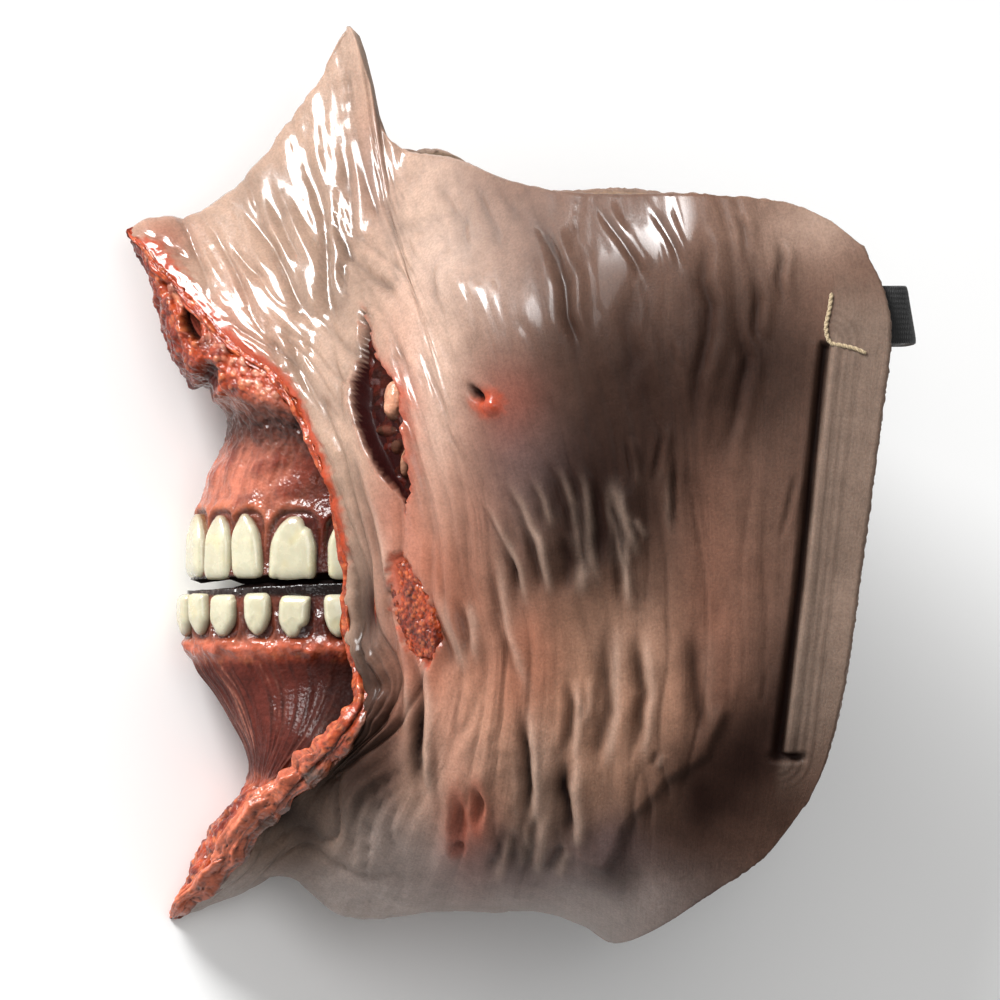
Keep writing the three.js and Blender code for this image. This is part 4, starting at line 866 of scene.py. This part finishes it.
def makeMuzzle(name, upper, rows, material):
    # Rows run down the face and columns across it, from edge to edge; the last rows beside the slit
    # roll inwards, and at its sides they meet those of the other jaw
    table = np.linspace(0.002, 0.998, 4000)
    line, half, wide = fleshLine(table).T, flesh["slitHeight"] / 2, 2 * flesh["columns"] + 1
    beside = slice(1000, 2600)  # where the line passes the slit, falling all the way
    slit = [np.interp(-(flesh["slitLevel"] + s * half), -line[beside, 1], table[beside]) for s in (1, -1)]
    low, high = (0.003, slit[0]) if upper else (slit[1], 0.997)
    length = runLength(line)
    places = np.linspace(*np.interp([low, high], table, length), rows + 1)
    share, across = np.meshgrid(np.interp(places, length, table), np.linspace(-1, 1, wide), indexing="ij")
    away = np.abs(across)
    p = fleshPoint(share, away, edgePoints(share))
    p[..., 1] *= np.sign(across)
    arc = np.array([runLength(row) for row in p])
    arc -= arc[:, flesh["columns"]][:, None]
    normal = unit(np.cross(np.gradient(p, axis=0), np.gradient(p, axis=1)))
    relief, colour, dry = fleshLook(share, across, arc, p)
    relief = relief * (1 - 0.85 * smooth(0.95, 1, away))
    middle = mix(1, 3, smooth(0, 0.12, share) * smooth(1, 0.9, share))
    thick = mix(middle, 1.2, smooth(0.72, 1, away))
    outer, inner = p + normal * relief[..., None], p - normal * thick[..., None]
    sideways = smooth(flesh["openFrom"] + 2, flesh["openFrom"] - 2, p[..., 0])
    order = slice(None) if upper else slice(None, None, -1)
    outer, inner, colour, normal, sideways, dry = (
        x[order] for x in (outer, inner, colour, normal, sideways, dry))
    steps = flesh["rollSteps"]
    turn = (np.arange(1, steps + 1) / steps)[:, None, None]
    fall = np.array([0, 0, -1.0 if upper else 1.0])
    roll = outer[-1] - normal[-1] * 2.0 * np.sin(turn * pi / 2)
    roll = roll + fall * (1 - np.cos(turn * pi / 2)) * (0.2 + 1.25 * sideways[-1][None, :, None])
    # the lips rolling into the slit turn black, the more so deeper in: painted shade of the gap
    rolled = layered(colour[-1], "blackAndShade", np.minimum(0.3 + turn[..., 0] * 1.2, 1) + 0 * roll[..., 0])
    outer, inner = np.concatenate([outer, roll]), np.concatenate([inner, np.repeat(inner[-1:], steps, 0)])
    colour, dry = np.concatenate([colour, rolled]), np.concatenate([dry, 1 + 0 * roll[..., 0]])
    coarse = flesh["coarser"]
    total = (len(outer) - 1) // coarse * coarse
    outer, inner, colour, dry = (x[: total + 1] for x in (outer, inner[::coarse, ::coarse], colour, dry))
    path = rimPath((0, 0), (total, 0), (total, wide - 1), (0, wide - 1), (0, 0))
    points, faces = shellPiece(outer, inner[: total // coarse + 1], (coarse, coarse), [(path, [])], False)
    rest = len(points) - dry.size
    behind = np.tile(paint("red") * 0.8 + 0.2 * paint("rear"), (rest, 1))
    colour, dry = np.concatenate([colour.reshape(-1, 3), behind]), np.concatenate([dry.ravel(), np.ones(rest)])
    addPiece(name, points, faces, material, colour, dry=dry)


# The rolled, granular lip of the torn edge
tornLip = through([  # share down the torn edge: width, thickness
    [0, 1.0, 1.0], [0.05, 1.6, 1.2], [0.2, 1.9, 1.3], [0.32, 2.2, 1.6], [0.42, 2.4, 2], [0.5, 2.8, 2.2],
    [0.56, 3.2, 2.6], [0.62, 4.4, 3.2], [0.7, 5.6, 4], [0.78, 5.8, 4.2], [0.86, 6.8, 4], [0.93, 6.6, 3.6],
    [0.98, 4.2, 2.8], [1, 2, 2],
])
lipRise = through([[0, -0.18], [0.55, -0.18], [0.64, 0.2], [0.72, 0.5], [0.8, 0.4], [0.88, 0.1], [1, -0.1]])
lip = dict(rows=560, around=44, bigBeads=1.3, smallBeads=0.7)


def makeTornLip(name, side, material):
    # An oval carried along the torn edge, flat to the skin, swollen by lumps and granules
    rows = lip["rows"]
    b = np.linspace(0.004, 0.997, 4000)
    length = runLength(skinPlace(0 * b, b)[0])
    b = np.interp(np.linspace(0, length[-1], rows), length, b)
    line, square = skinPlace(0 * b, b)
    share = shareOf(0 * b, b)
    width, thick = tornLip(share)
    outward = unit(np.cross(unit(np.gradient(line, axis=0)), square))
    outward = outward * np.sign(outward[:, :1] + 1e-9)
    wave = 1 + 0.3 * noise(length[-1] * np.linspace(0, 1, rows) / 5, side * 3.0, 0.0, 41)
    width, thick = width * wave, thick * (2 - wave) * 0.9
    ends = np.sqrt(np.clip(1 - np.abs(np.linspace(-1, 1, rows)) ** 60, 0, 1))
    middle = line + outward * (0.36 * width)[:, None] + square * (lipRise(share)[0] * width - 0.1)[:, None]
    turn = np.linspace(0, 2 * pi, lip["around"] + 1)[None]
    flat, tall = power(np.cos(turn), 0.8), power(np.sin(turn), 0.8)
    p = middle[:, None] + outward[:, None] * (flat * (width * ends)[:, None] / 2)[..., None]
    p = p + square[:, None] * (tall * (thick * ends)[:, None] / 2)[..., None]
    p[:, -1] = p[:, 0]
    at, run = p * [1, side, 1], np.linspace(0, length[-1], rows)[:, None] + side * 200
    turn[:, -1] = 0
    lumps = noise(run / 6, 0.9 * np.cos(turn), 0.9 * np.sin(turn), 42)
    strings = noise(run / 9, 2.6 * np.cos(turn), 2.6 * np.sin(turn) + 0.04 * run, 46)
    big, beadGapShade, tint = granular(at, lip["bigBeads"], 43)
    small = granular(at, lip["smallBeads"], 44)[0]
    creases = peak(strings, 0.09)
    swell = np.minimum(width / 3, 1)[:, None] * ends[:, None]

    def chin(start, end):  # grows down the torn edge
        return smooth(start, end, share)[:, None]

    gutter = bell(np.cos(turn) + 0.25 * lumps, -0.45, 0.2) * chin(0.56, 0.68)
    relief = swell * (1.3 * lumps + 0.7 * strings + 0.16 * big + 0.2 * small - 0.7 * creases - 0.9 * gutter)
    p = p + unit(p - middle[:, None]) * relief[..., None]
    p[:, -1] = p[:, 0]
    towardSkin = smooth(0.1, -0.8, np.cos(turn)) * smooth(-0.25, 0.3, lumps + 0.5 * strings) * chin(0.5, 0.66)
    colour = layered(
        # lighter on the bead tops: a painted highlight
        paint("orange"), "light", 0.7 * smooth(0.4, 0.9, big) * tint, "red", 0.6 * smooth(0.1, 0.7, -lumps),
        "chinLip", 0.65 * chin(0.62, 0.84) + 0 * lumps,
        # darker between the beads, in the creases and along the gutter by the skin: painted shade
        "darkAndShade", 0.6 * beadGapShade * (1 - small) + 0.85 * np.maximum(creases * swell, gutter),
        "rear", 0.8 * towardSkin,
    )
    p[..., 1] = np.maximum(p[..., 1], -0.3) * side
    addPiece(name, p, tubeFaces(p), material, colour)


# The flesh in the long tear and in the graze: how deep the pad and its edge lie, the size of its beads,
# the strengths of lumps, beads and small beads
padGrid = dict(rowStep=0.3, columns=44)
graze = dict(
    line=grazeLine, ends=(52.3, 73.7), depth=0.1, edge=1.0, size=1.0, strengths=(0.35, 0.42, 0.25), deep=0.0,
    lumps=[],
)
tear = dict(
    line=slashLine, ends=(85, 124.2), depth=3.0, edge=2.3, size=2.0, strengths=(0.7, 0.22, 0.12), deep=1.0,
    lumps=[  # f, u, half width, half height, rise
        (103.4, 107.2, 2.0, 4.2, 2.9), (100.7, 93.8, 1.2, 3.3, 1.9), (105.4, 100.6, 2.2, 1.1, 0.9),
        (103.2, 97, 1.2, 1.6, 1),
    ],
)


def makeTearFlesh(name, wound, side, material):
    # A closed pad in the hollow: its face is beads of flesh, its back lies just outside the inner skin
    (low, high), deep, size = wound["ends"], wound["deep"], wound["size"]
    rows, columns = int((high - low) / padGrid["rowStep"]), padGrid["columns"]
    t, s = np.meshgrid(np.linspace(0, 1, rows + 1), np.linspace(-1, 1, columns + 1), indexing="ij")
    u = mix(high, low, t)
    middle, half = wound["line"](u)
    f = middle + s * (np.maximum(half, 0.25) * 1.12 + 0.3)
    y = halfWidth(f, u)
    base, square = np.stack([f, y, u], -1), slopeNormals(f, y, u)
    at = base * [1, side, 1]
    lumps = noise(*(np.moveaxis(at, -1, 0) / 4), 51)
    big, beadGapShade, tint = granular(at, size, 52)
    small = granular(at, size * 0.5, 53)[0]
    inside = smooth(1, 0.8, np.abs(s)) * smooth(0, 0.06, t) * smooth(1, 0.94, t)
    grain = sum(strength * part for strength, part in zip(wound["strengths"], (lumps, big, small)))
    relief, pearl = inside * grain - mix(wound["edge"], wound["depth"], inside), np.zeros(f.shape)
    for atF, atU, wide, tall, rise in wound["lumps"]:
        far = oval(f + 0.2 * (u - atU), u, atF, atU, wide, tall)
        pearl = np.maximum(pearl, smooth(1.1, 0.75, far) * smooth(0.5, 3.2, rise))
        relief += rise * dome(far) * inside
    floor = castHollow(f, u) - form["wall"] + 0.3
    outer = base + square * np.maximum(relief, floor + 0.15)[..., None]
    back = base + square * floor[..., None]
    colour = layered(
        paint("orange"), "red", 0.7 * smooth(-0.3, 0.4, lumps),
        # lighter on the bead tops: painted highlight; darker between the beads: painted shade
        "light", 0.5 * smooth(0.5, 0.9, big) * (1 - inside * deep), "darkAndShade", 0.75 * beadGapShade + 0.3 * (1 - small),
        # near-black deep in the tear: partly the wound's paint, partly painted shade
        "blackAndShade", 0.9 * deep * smooth(0.05, 0.6, inside), "darkAndShade", deep * inside * smooth(0.1, 0.5, lumps),
        "gumRear", 0.6 * deep * smooth(0.35, 0.8, tint), "pearl", pearl,
    )
    dry = np.clip(deep * (1.15 - 1.15 * pearl - 1.3 * smooth(0.82, 0.9, tint)), 0, 1)
    index = numbered(outer)
    path = rimPath((0, 0), (rows, 0), (rows, columns), (0, columns), (0, 0))
    rim = index[path[:, 0], path[:, 1]]
    sides = np.stack([rim[:-1], rim[1:], index.size + rim[1:], index.size + rim[:-1]], -1)
    faces = [gridFaces(index), gridFaces(index.size + index, True), sides]
    points, colour, dry = np.stack([outer, back]) * [1, side, 1], np.stack([colour] * 2), np.stack([dry] * 2)
    addPiece(name, points, faces, material, colour, dry=dry)


# The teeth
toothForm = dict(relief=1.9, buried=1.6, rings=22, around=44, ridges=0.1, lean=2.4)


def makeTeeth(name, teeth, material):
    # Each tooth is a pad of rounded oblong outline, narrower at the root: rings from the middle of its
    # face out over the rounded edge and down into the gum
    line, length = gumLine(teeth["level"])
    pads, colours, root, tall = [], [], teeth["root"], teeth["height"]
    turn = np.linspace(0, 1, toothForm["around"] + 1)[None]
    reach = np.linspace(0, 1, toothForm["rings"])[:, None]
    height = np.where(reach < 0.72, toothForm["relief"] * np.sqrt(np.maximum(1 - (reach / 0.735) ** 5, 0)), 0)
    height = height - smooth(0.72, 0.98, reach) * toothForm["buried"]
    scale = np.minimum(reach / 0.72, 1) * smooth(1, 0.97, reach)
    cosine, sine = np.cos(2 * pi * turn), np.sin(2 * pi * turn)
    isRoot = sine * root
    for side, n in [(side, n) for side in (1, -1) for n in range(len(teeth["arcs"]))]:
        arc, width = teeth["arcs"][n], teeth["widths"][n]
        at, ahead = (np.array([np.interp(x, length, line[:, k]) for k in (0, 1)]) for x in (arc, arc + 0.5))
        along = unit(ahead - at)
        seed = n + 7 * root + 20 * side
        x, z = power(cosine, np.where(isRoot > 0, 0.8, 0.42)), power(sine, np.where(isRoot > 0, 0.85, 0.36))
        outline = 1 + 0.035 * noise(2 * cosine, 2 * sine, seed * 1.7, 61)
        for number, where, wide, deep in teeth["chips"]:
            if number == n:
                off = np.abs((turn - where + 0.5) % 1 - 0.5)
                outline = outline - deep * np.exp(-((off / wide) ** 2)) * smooth(0.3, 1, scale)
        x = x * (1.02 - 0.13 * isRoot - 0.3 * np.maximum(isRoot, 0) ** 1.5)
        x = x + teeth["lean"][n] * toothForm["lean"] * z
        x, z = scale * x * outline * width * 0.485, scale * z * outline * tall / 2
        ridges = toothForm["ridges"] * scale * noise(0.9 * x, 0.12 * z, seed * 2.3, 62)
        rise = height * (1 - 0.25 * smooth(0.2, 1, isRoot) * scale) + ridges - 0.05 * (x / width * 2) ** 2
        places = [at[0] + along[0] * x + along[1] * rise, at[1] + along[1] * x - along[0] * rise,
                  teeth["level"] + teeth["low"][n] + z]
        pads.append(np.stack(places, -1) * [1, side, 1])
        colours.append(layered(
            paint("bone"), "boneRoot", 0.45 * smooth(0.5, 1.1, z / tall * 2 * root),
            "boneRoot", 0.9 * smooth(0.7, 0.84, reach + 0 * x),
            "stain", 0.4 * smooth(0.1, 0.7, noise(0.35 * x, 0.3 * z, seed * 1.1, 63)),
        ))
    faces = [gridFaces(numbered(p, k * p[..., 0].size), k >= len(pads) // 2) for k, p in enumerate(pads)]
    addPiece(name, np.stack(pads), faces, material, np.stack(colours))


# The elastic strap: flat inside the rear edges, then round behind the head opening
strap = dict(
    width=12, thickness=1.4, level=124, endForward=13, bend=5, twist=0.17, bow=0.6, clearance=0.8, around=37,
)


def makeStrap(material):
    # A band carried along its path, its section an oblong with rounded edges
    wide, thick, bendBy = strap["width"], strap["thickness"], strap["bend"]
    over, middle, under = (
        halfWidth(np.array(5.0), strap["level"] + s * wide / 2) - form["wall"] - strap["clearance"] - thick / 2
        for s in (1.0, 0, -1))
    bend, flatF = np.linspace(0.02, 1, 24) * pi / 2, np.linspace(strap["endForward"], 1, 30)
    share = np.linspace(0.98, 0, 90)
    arcY = middle - bendBy * (1 - np.cos(bend))
    half = np.stack([
        np.concatenate([flatF, 1 - bendBy * np.sin(bend), 1 - bendBy - strap["bow"] * (1 - share**2)]),
        np.concatenate([0 * flatF + middle, arcY, arcY[-1] * share]),
        np.concatenate([0 * flatF, bend, 0 * share + pi / 2]),
    ], -1)
    f, y, turn = np.concatenate([half, (half[-2::-1] * [1, -1, -1]) + [0, 0, pi]]).T
    side = np.cos(turn)
    out = np.stack([-np.sin(turn), side, 0 * f], -1)
    lean = unit(np.stack([strap["twist"] * (1 - np.abs(side)), (over - under) / wide * side, 1 + 0 * f], -1))
    at = np.stack([f, y, strap["level"] + 0 * f], -1)
    around = np.linspace(0, 2 * pi, strap["around"])
    w, h = power(np.cos(around), 0.25) * wide / 2, power(np.sin(around), 0.5) * thick / 2
    p = at[:, None] + lean[:, None] * w[None, :, None] + out[:, None] * h[None, :, None]
    uv = np.stack(np.broadcast_arrays(runLength(at)[:, None], w), -1) / perMetre
    addPiece("elastic_band", p, tubeFaces(p), material, uv=uv, slot="strap_elastic", nodes=("elastic_strap",))


# The hand stitches outside, which hold the ends of the strap
stitch = dict(
    radius=0.45, raised=0.05, plies=2, turnsPerMm=0.42, steps=220, around=25,
    path=[(11.9, 128.5), (12.4, 125), (13.1, 121.3), (12.3, 118.3), (9.8, 117.6), (7.3, 117), (4.8, 116)],
)


def makeStitch(name, node, side, material):
    # A twisted thread lying on the skin: a section of two lobes that turns along the path
    f, u = through([[k, *place] for k, place in enumerate(stitch["path"])])(
        np.linspace(0, len(stitch["path"]) - 1, stitch["steps"]))
    line = np.stack([f, halfWidth(f, u) + stitch["radius"] + stitch["raised"], u], -1)
    along = unit(np.gradient(line, axis=0))
    up = unit(np.array([0, 1.0, 0]) - along * along[:, 1:2])
    length, around = runLength(line)[:, None], np.linspace(0, 2 * pi, stitch["around"])[None]
    twist = stitch["plies"] / 2 * (around - 2 * pi * stitch["turnsPerMm"] * length)
    ends = np.sqrt(np.clip(1 - np.abs(np.linspace(-1, 1, len(f))) ** 40, 0.02, 1))[:, None]
    r = stitch["radius"] * (0.66 + 0.4 * np.abs(np.cos(twist))) * ends
    p = line[:, None] + up[:, None] * (r * np.cos(around))[..., None]
    p = (p + np.cross(along, up)[:, None] * (r * np.sin(around))[..., None]) * [1, side, 1]
    p[:, -1] = p[:, 0]
    uv = np.stack(np.broadcast_arrays(length, around), -1) / perMetre
    addPiece(name, p, tubeFaces(p), material, uv=uv, slot="stitch_thread", nodes=(node,))


# Materials: a node given as an input's value is linked by its first output
def newMaterial(name):
    material = bpy.data.materials.new(name)
    material.use_nodes = True
    tree = material.node_tree
    tree.nodes.clear()

    def put(node, inputs):
        for key, value in inputs.items():
            value = value.outputs[0] if isinstance(value, bpy.types.Node) else value
            if isinstance(value, bpy.types.NodeSocket):
                tree.links.new(value, node.inputs[key])
            else:
                node.inputs[key].default_value = value

    def add(kind, inputs=None, **settings):
        node = tree.nodes.new("ShaderNode" + kind)
        for key, value in settings.items():
            setattr(node, key, value)
        put(node, inputs or {})
        return node

    shader = add("BsdfPrincipled")
    add("OutputMaterial", {0: shader})
    return material, add, lambda inputs: put(shader, inputs)


def spread(add, value, low, high, start, end):  # a value between low and high, stretched from start to end
    return add("MapRange", {0: value, 1: low, 2: high, 3: start, 4: end})


def cloud(add, vector, scale, detail, roughness=0.5):
    return add("TexNoise", {"Vector": vector, "Scale": scale, "Detail": detail, "Roughness": roughness})


def carried(add, name):  # a value that each point carries
    return add("Attribute", attribute_name=name).outputs["Fac"]


def painted(add, tone, *others):  # the paint of each point, its light scaled by all the tones
    for other in others:
        tone = add("Math", {0: tone, 1: other}, operation="MULTIPLY")
    return add("VectorMath", {0: add("Attribute", attribute_name="paint"), "Scale": tone}, operation="SCALE")


def bump(add, height, strength, distance, under=None):
    inputs = {"Height": height, "Strength": strength, "Distance": distance}
    return add("Bump", {**inputs, "Normal": under} if under else inputs)


latexLook = dict(  # pairs: from the least to the most of what drives them
    mottle=(0.69, 0.9), streak=(0.97, 1.03), speck=(0.86, 1.12), scored=(0.95, 0.98), roughness=(0.58, 0.13),
    uneven=(-0.07, 0.07), coat=(0.02, 0.8), coatRoughness=0.14, ridges=0.18, cuts=0.2, grain=0.3,
)
wetLook = dict(
    mottle=(0.56, 1.1), roughness=(0.2, 0.5), dryRoughness=0.3, coat=(0.75, 0), lumps=0.5, pits=0.35,
)
toothLook = dict(stain=(0.74, 0.9), roughness=(0.18, 0.34), coat=0.7, coatRoughness=0.08, grain=0.12)
wovenLook = dict(sheen=0.12, coatRoughness=0.1, relief=0.6, waver=(0.6, 0.4))


def skinMaterial():
    # Painted latex: the paint of each point, mottled and speckled, with fine lines down the strands
    material, add, finish = newMaterial("painted_latex")
    look, place, gloss = latexLook, add("TexCoord").outputs, carried(add, "gloss")
    lines = cloud(add, add("Mapping", {"Vector": place["UV"], "Scale": (1, 0.035, 1)}), 1500, 4, 0.6)
    mottle, speck = cloud(add, place["Object"], 260, 5, 0.65), cloud(add, place["Object"], 1900, 2, 0.6)
    scored = add("Mapping", {"Vector": place["UV"], "Scale": (1, 0.022, 1), "Location": (0.3, 0.7, 0)})
    scored = add("Math", {0: cloud(add, scored, 620, 2), 1: 0.5}, operation="SUBTRACT")
    scored = add("Math", {0: scored}, operation="ABSOLUTE")
    scored = spread(add, scored, 0, 0.03, spread(add, gloss, 0.2, 0.8, *look["scored"]), 1)
    tones = [spread(add, mottle, 0.3, 0.7, *look["mottle"]), spread(add, lines, 0.32, 0.68, *look["streak"])]
    tones += [spread(add, speck, 0.3, 0.7, *look["speck"]), scored]
    rough = {0: spread(add, gloss, 0, 1, *look["roughness"]), 1: spread(add, mottle, 0.3, 0.7, *look["uneven"])}
    ridges = {0: look["ridges"], 1: carried(add, "inside")}  # none on the bare inside
    ridges = bump(add, lines, add("Math", ridges, operation="SUBTRACT", use_clamp=True), 0.0005)
    finish({
        "Base Color": painted(add, *tones), "Coat Roughness": look["coatRoughness"], "Specular IOR Level": 0.05,
        "Roughness": add("Math", rough, operation="ADD", use_clamp=True),
        "Coat Weight": spread(add, gloss, 0.2, 1, *look["coat"]), "Subsurface Weight": 0.12,
        "Subsurface Radius": (1, 0.4, 0.25), "Subsurface Scale": 0.0015,
        "Normal": bump(add, speck, look["grain"], 0.0003, bump(add, scored, look["cuts"], 0.0004, ridges)),
    })
    return material


def fleshMaterial():
    # Wet painted flesh: a clear coat over the paint, broken by a fine grain that makes it sparkle
    material, add, finish = newMaterial("wet_flesh")
    look, place, dry = wetLook, add("TexCoord").outputs["Object"], carried(add, "dry")
    mottle, grain = cloud(add, place, 420, 5, 0.65), cloud(add, place, 1500, 3, 0.6)
    pits = add("TexVoronoi", {"Vector": place, "Scale": 1300})
    rough = {0: dry, 1: look["dryRoughness"], 2: spread(add, grain, 0.3, 0.7, *look["roughness"])}
    sparkle = bump(add, pits, look["pits"], 0.0003, bump(add, mottle, look["lumps"], 0.0005))
    finish({
        "Base Color": painted(add, spread(add, mottle, 0.3, 0.7, *look["mottle"])), "Coat Roughness": 0.05,
        "Roughness": add("Math", rough, operation="MULTIPLY_ADD", use_clamp=True), "Specular IOR Level": 0.06,
        "Coat Weight": spread(add, dry, 0, 1, *look["coat"]), "Normal": sparkle, "Coat Normal": sparkle,
        "Subsurface Weight": 0.06, "Subsurface Radius": (1, 0.3, 0.2), "Subsurface Scale": 0.0012,
    })
    return material


def toothMaterial():
    # Glossy cream paint with faint stains and hairlines
    material, add, finish = newMaterial("tooth_enamel")
    look, stain = toothLook, cloud(add, add("TexCoord").outputs["Object"], 330, 4, 0.6)
    finish({
        "Base Color": painted(add, spread(add, stain, 0.3, 0.7, *look["stain"])), "Coat Weight": look["coat"],
        "Roughness": spread(add, stain, 0.3, 0.7, *look["roughness"]), "Coat Roughness": look["coatRoughness"],
        "Normal": bump(add, stain, look["grain"], 0.0004), "Subsurface Weight": 0.1, "Subsurface Scale": 0.001,
    })
    return material


def wovenMaterial(name, low, high, acrossScale, alongScale, roughness):
    # A weave from two sets of waves over the piece's own length and width
    material, add, finish = newMaterial(name)
    place = add("TexCoord").outputs

    def waves(scale, waver, way):
        inputs = {"Vector": place["UV"], "Scale": scale, "Distortion": waver}
        return add("TexWave", inputs, wave_type="BANDS", bands_direction=way).outputs["Fac"]

    ribs, rows = waves(alongScale, wovenLook["waver"][0], "X"), waves(acrossScale, wovenLook["waver"][1], "Y")
    weave = add("Math", {0: ribs, 1: rows}, operation="MULTIPLY")
    whole = add("Math", {0: weave, 1: cloud(add, place["Object"], 2500, 3)}, operation="ADD")
    tone = {0: spread(add, whole, 0.3, 1.4, 0, 1), 6: (*paint(low), 1), 7: (*paint(high), 1)}
    finish({
        "Base Color": add("Mix", tone, data_type="RGBA").outputs[2], "Roughness": roughness,
        "Coat Roughness": wovenLook["coatRoughness"], "Sheen Weight": wovenLook["sheen"],
        "Normal": bump(add, whole, wovenLook["relief"], 0.0003),
    })
    return material


# The floor, the lights and the camera
stage = dict(
    aimForward=80.2, aimUp=85.8, distance=6, frameWidth=208.3, sensor=36, floorReach=3,
    keyPower=114, keySize=1.0, keyFar=2.3, fillPower=10, fillSize=1.2, fillFar=2, skyStrength=0.4,
)


def setStage():
    scene = bpy.context.scene
    scene.view_settings.view_transform = "Standard"
    world = scene.world = bpy.data.worlds.new("studio")
    world.use_nodes = True
    background = world.node_tree.nodes["Background"]
    background.inputs[0].default_value = (1, 1, 1, 1)
    background.inputs[1].default_value = stage["skyStrength"]
    floor, reach = bpy.data.meshes.new("floor"), stage["floorReach"]
    corners = [(reach * x, reach * y, 0) for x, y in ((-1, -1), (1, -1), (1, 1), (-1, 1))]
    floor.from_pydata(corners, [], [(0, 1, 2, 3)])
    pale, _, finish = newMaterial("pale_floor")
    finish({"Base Color": (0.99, 0.99, 0.985, 1), "Roughness": 0.8, "Coat Roughness": 0.1})
    floor.materials.append(pale)
    addObject("floor", floor)
    ahead, left, up = wornAxes
    middle = (np.array([stage["aimForward"], 0, stage["aimUp"]]) @ wornAxes + lyingShift) / perMetre

    def turnTo(obj, way, far, upward):  # stands obj off the middle and turns it to look there, upward up
        back = unit(way)
        side = unit(np.cross(upward, back))
        matrix = np.eye(4)
        matrix[:3] = np.column_stack([side, np.cross(back, side), back, middle + far * back])
        obj.matrix_world = Matrix(matrix.tolist())

    def addLight(name, way):
        light = bpy.data.lights.new(name, "AREA")
        light.energy, light.size, light.shape = stage[name + "Power"], stage[name + "Size"], "DISK"
        turnTo(addObject(name, light), way, stage[name + "Far"], np.array([0, 1, 0.01]))

    addLight("key", 0.45 * ahead + 0.7 * up + 0.55 * left)
    addLight("fill", -0.1 * ahead + 0.2 * up + left)
    camera = bpy.data.cameras.new("camera")
    camera.sensor_width = stage["sensor"]
    camera.lens = stage["sensor"] * stage["distance"] * perMetre / stage["frameWidth"]
    camera.clip_end = 20
    scene.camera = addObject("camera", camera)
    turnTo(scene.camera, left, stage["distance"], up)
    print("stage set")


setStage()
makeSkin(skinMaterial())
wet, enamel = fleshMaterial(), toothMaterial()
elastic = wovenMaterial("black_elastic", "elastic", "elasticTop", 300, 700, 0.7)
thread = wovenMaterial("tan_thread", "thread", "threadTop", 900, 900, 0.65)
print("materials ready")
makeMuzzle("muzzle_upper", True, flesh["rowsUpper"], wet)
makeMuzzle("muzzle_lower", False, flesh["rowsLower"], wet)
makeTeeth("teeth_upper", upperTeeth, enamel)
makeTeeth("teeth_lower", lowerTeeth, enamel)
for label, side in (("left", 1), ("right", -1)):
    makeTornLip("torn_lip_" + label, side, wet)
    makeTearFlesh("tear_flesh_" + label, tear, side, wet)
    makeTearFlesh("graze_flesh_" + label, graze, side, wet)
makeStrap(elastic)
makeStitch("thread_left", "stitch_left", 1, thread)
makeStitch("thread_right", "stitch_right", -1, thread)
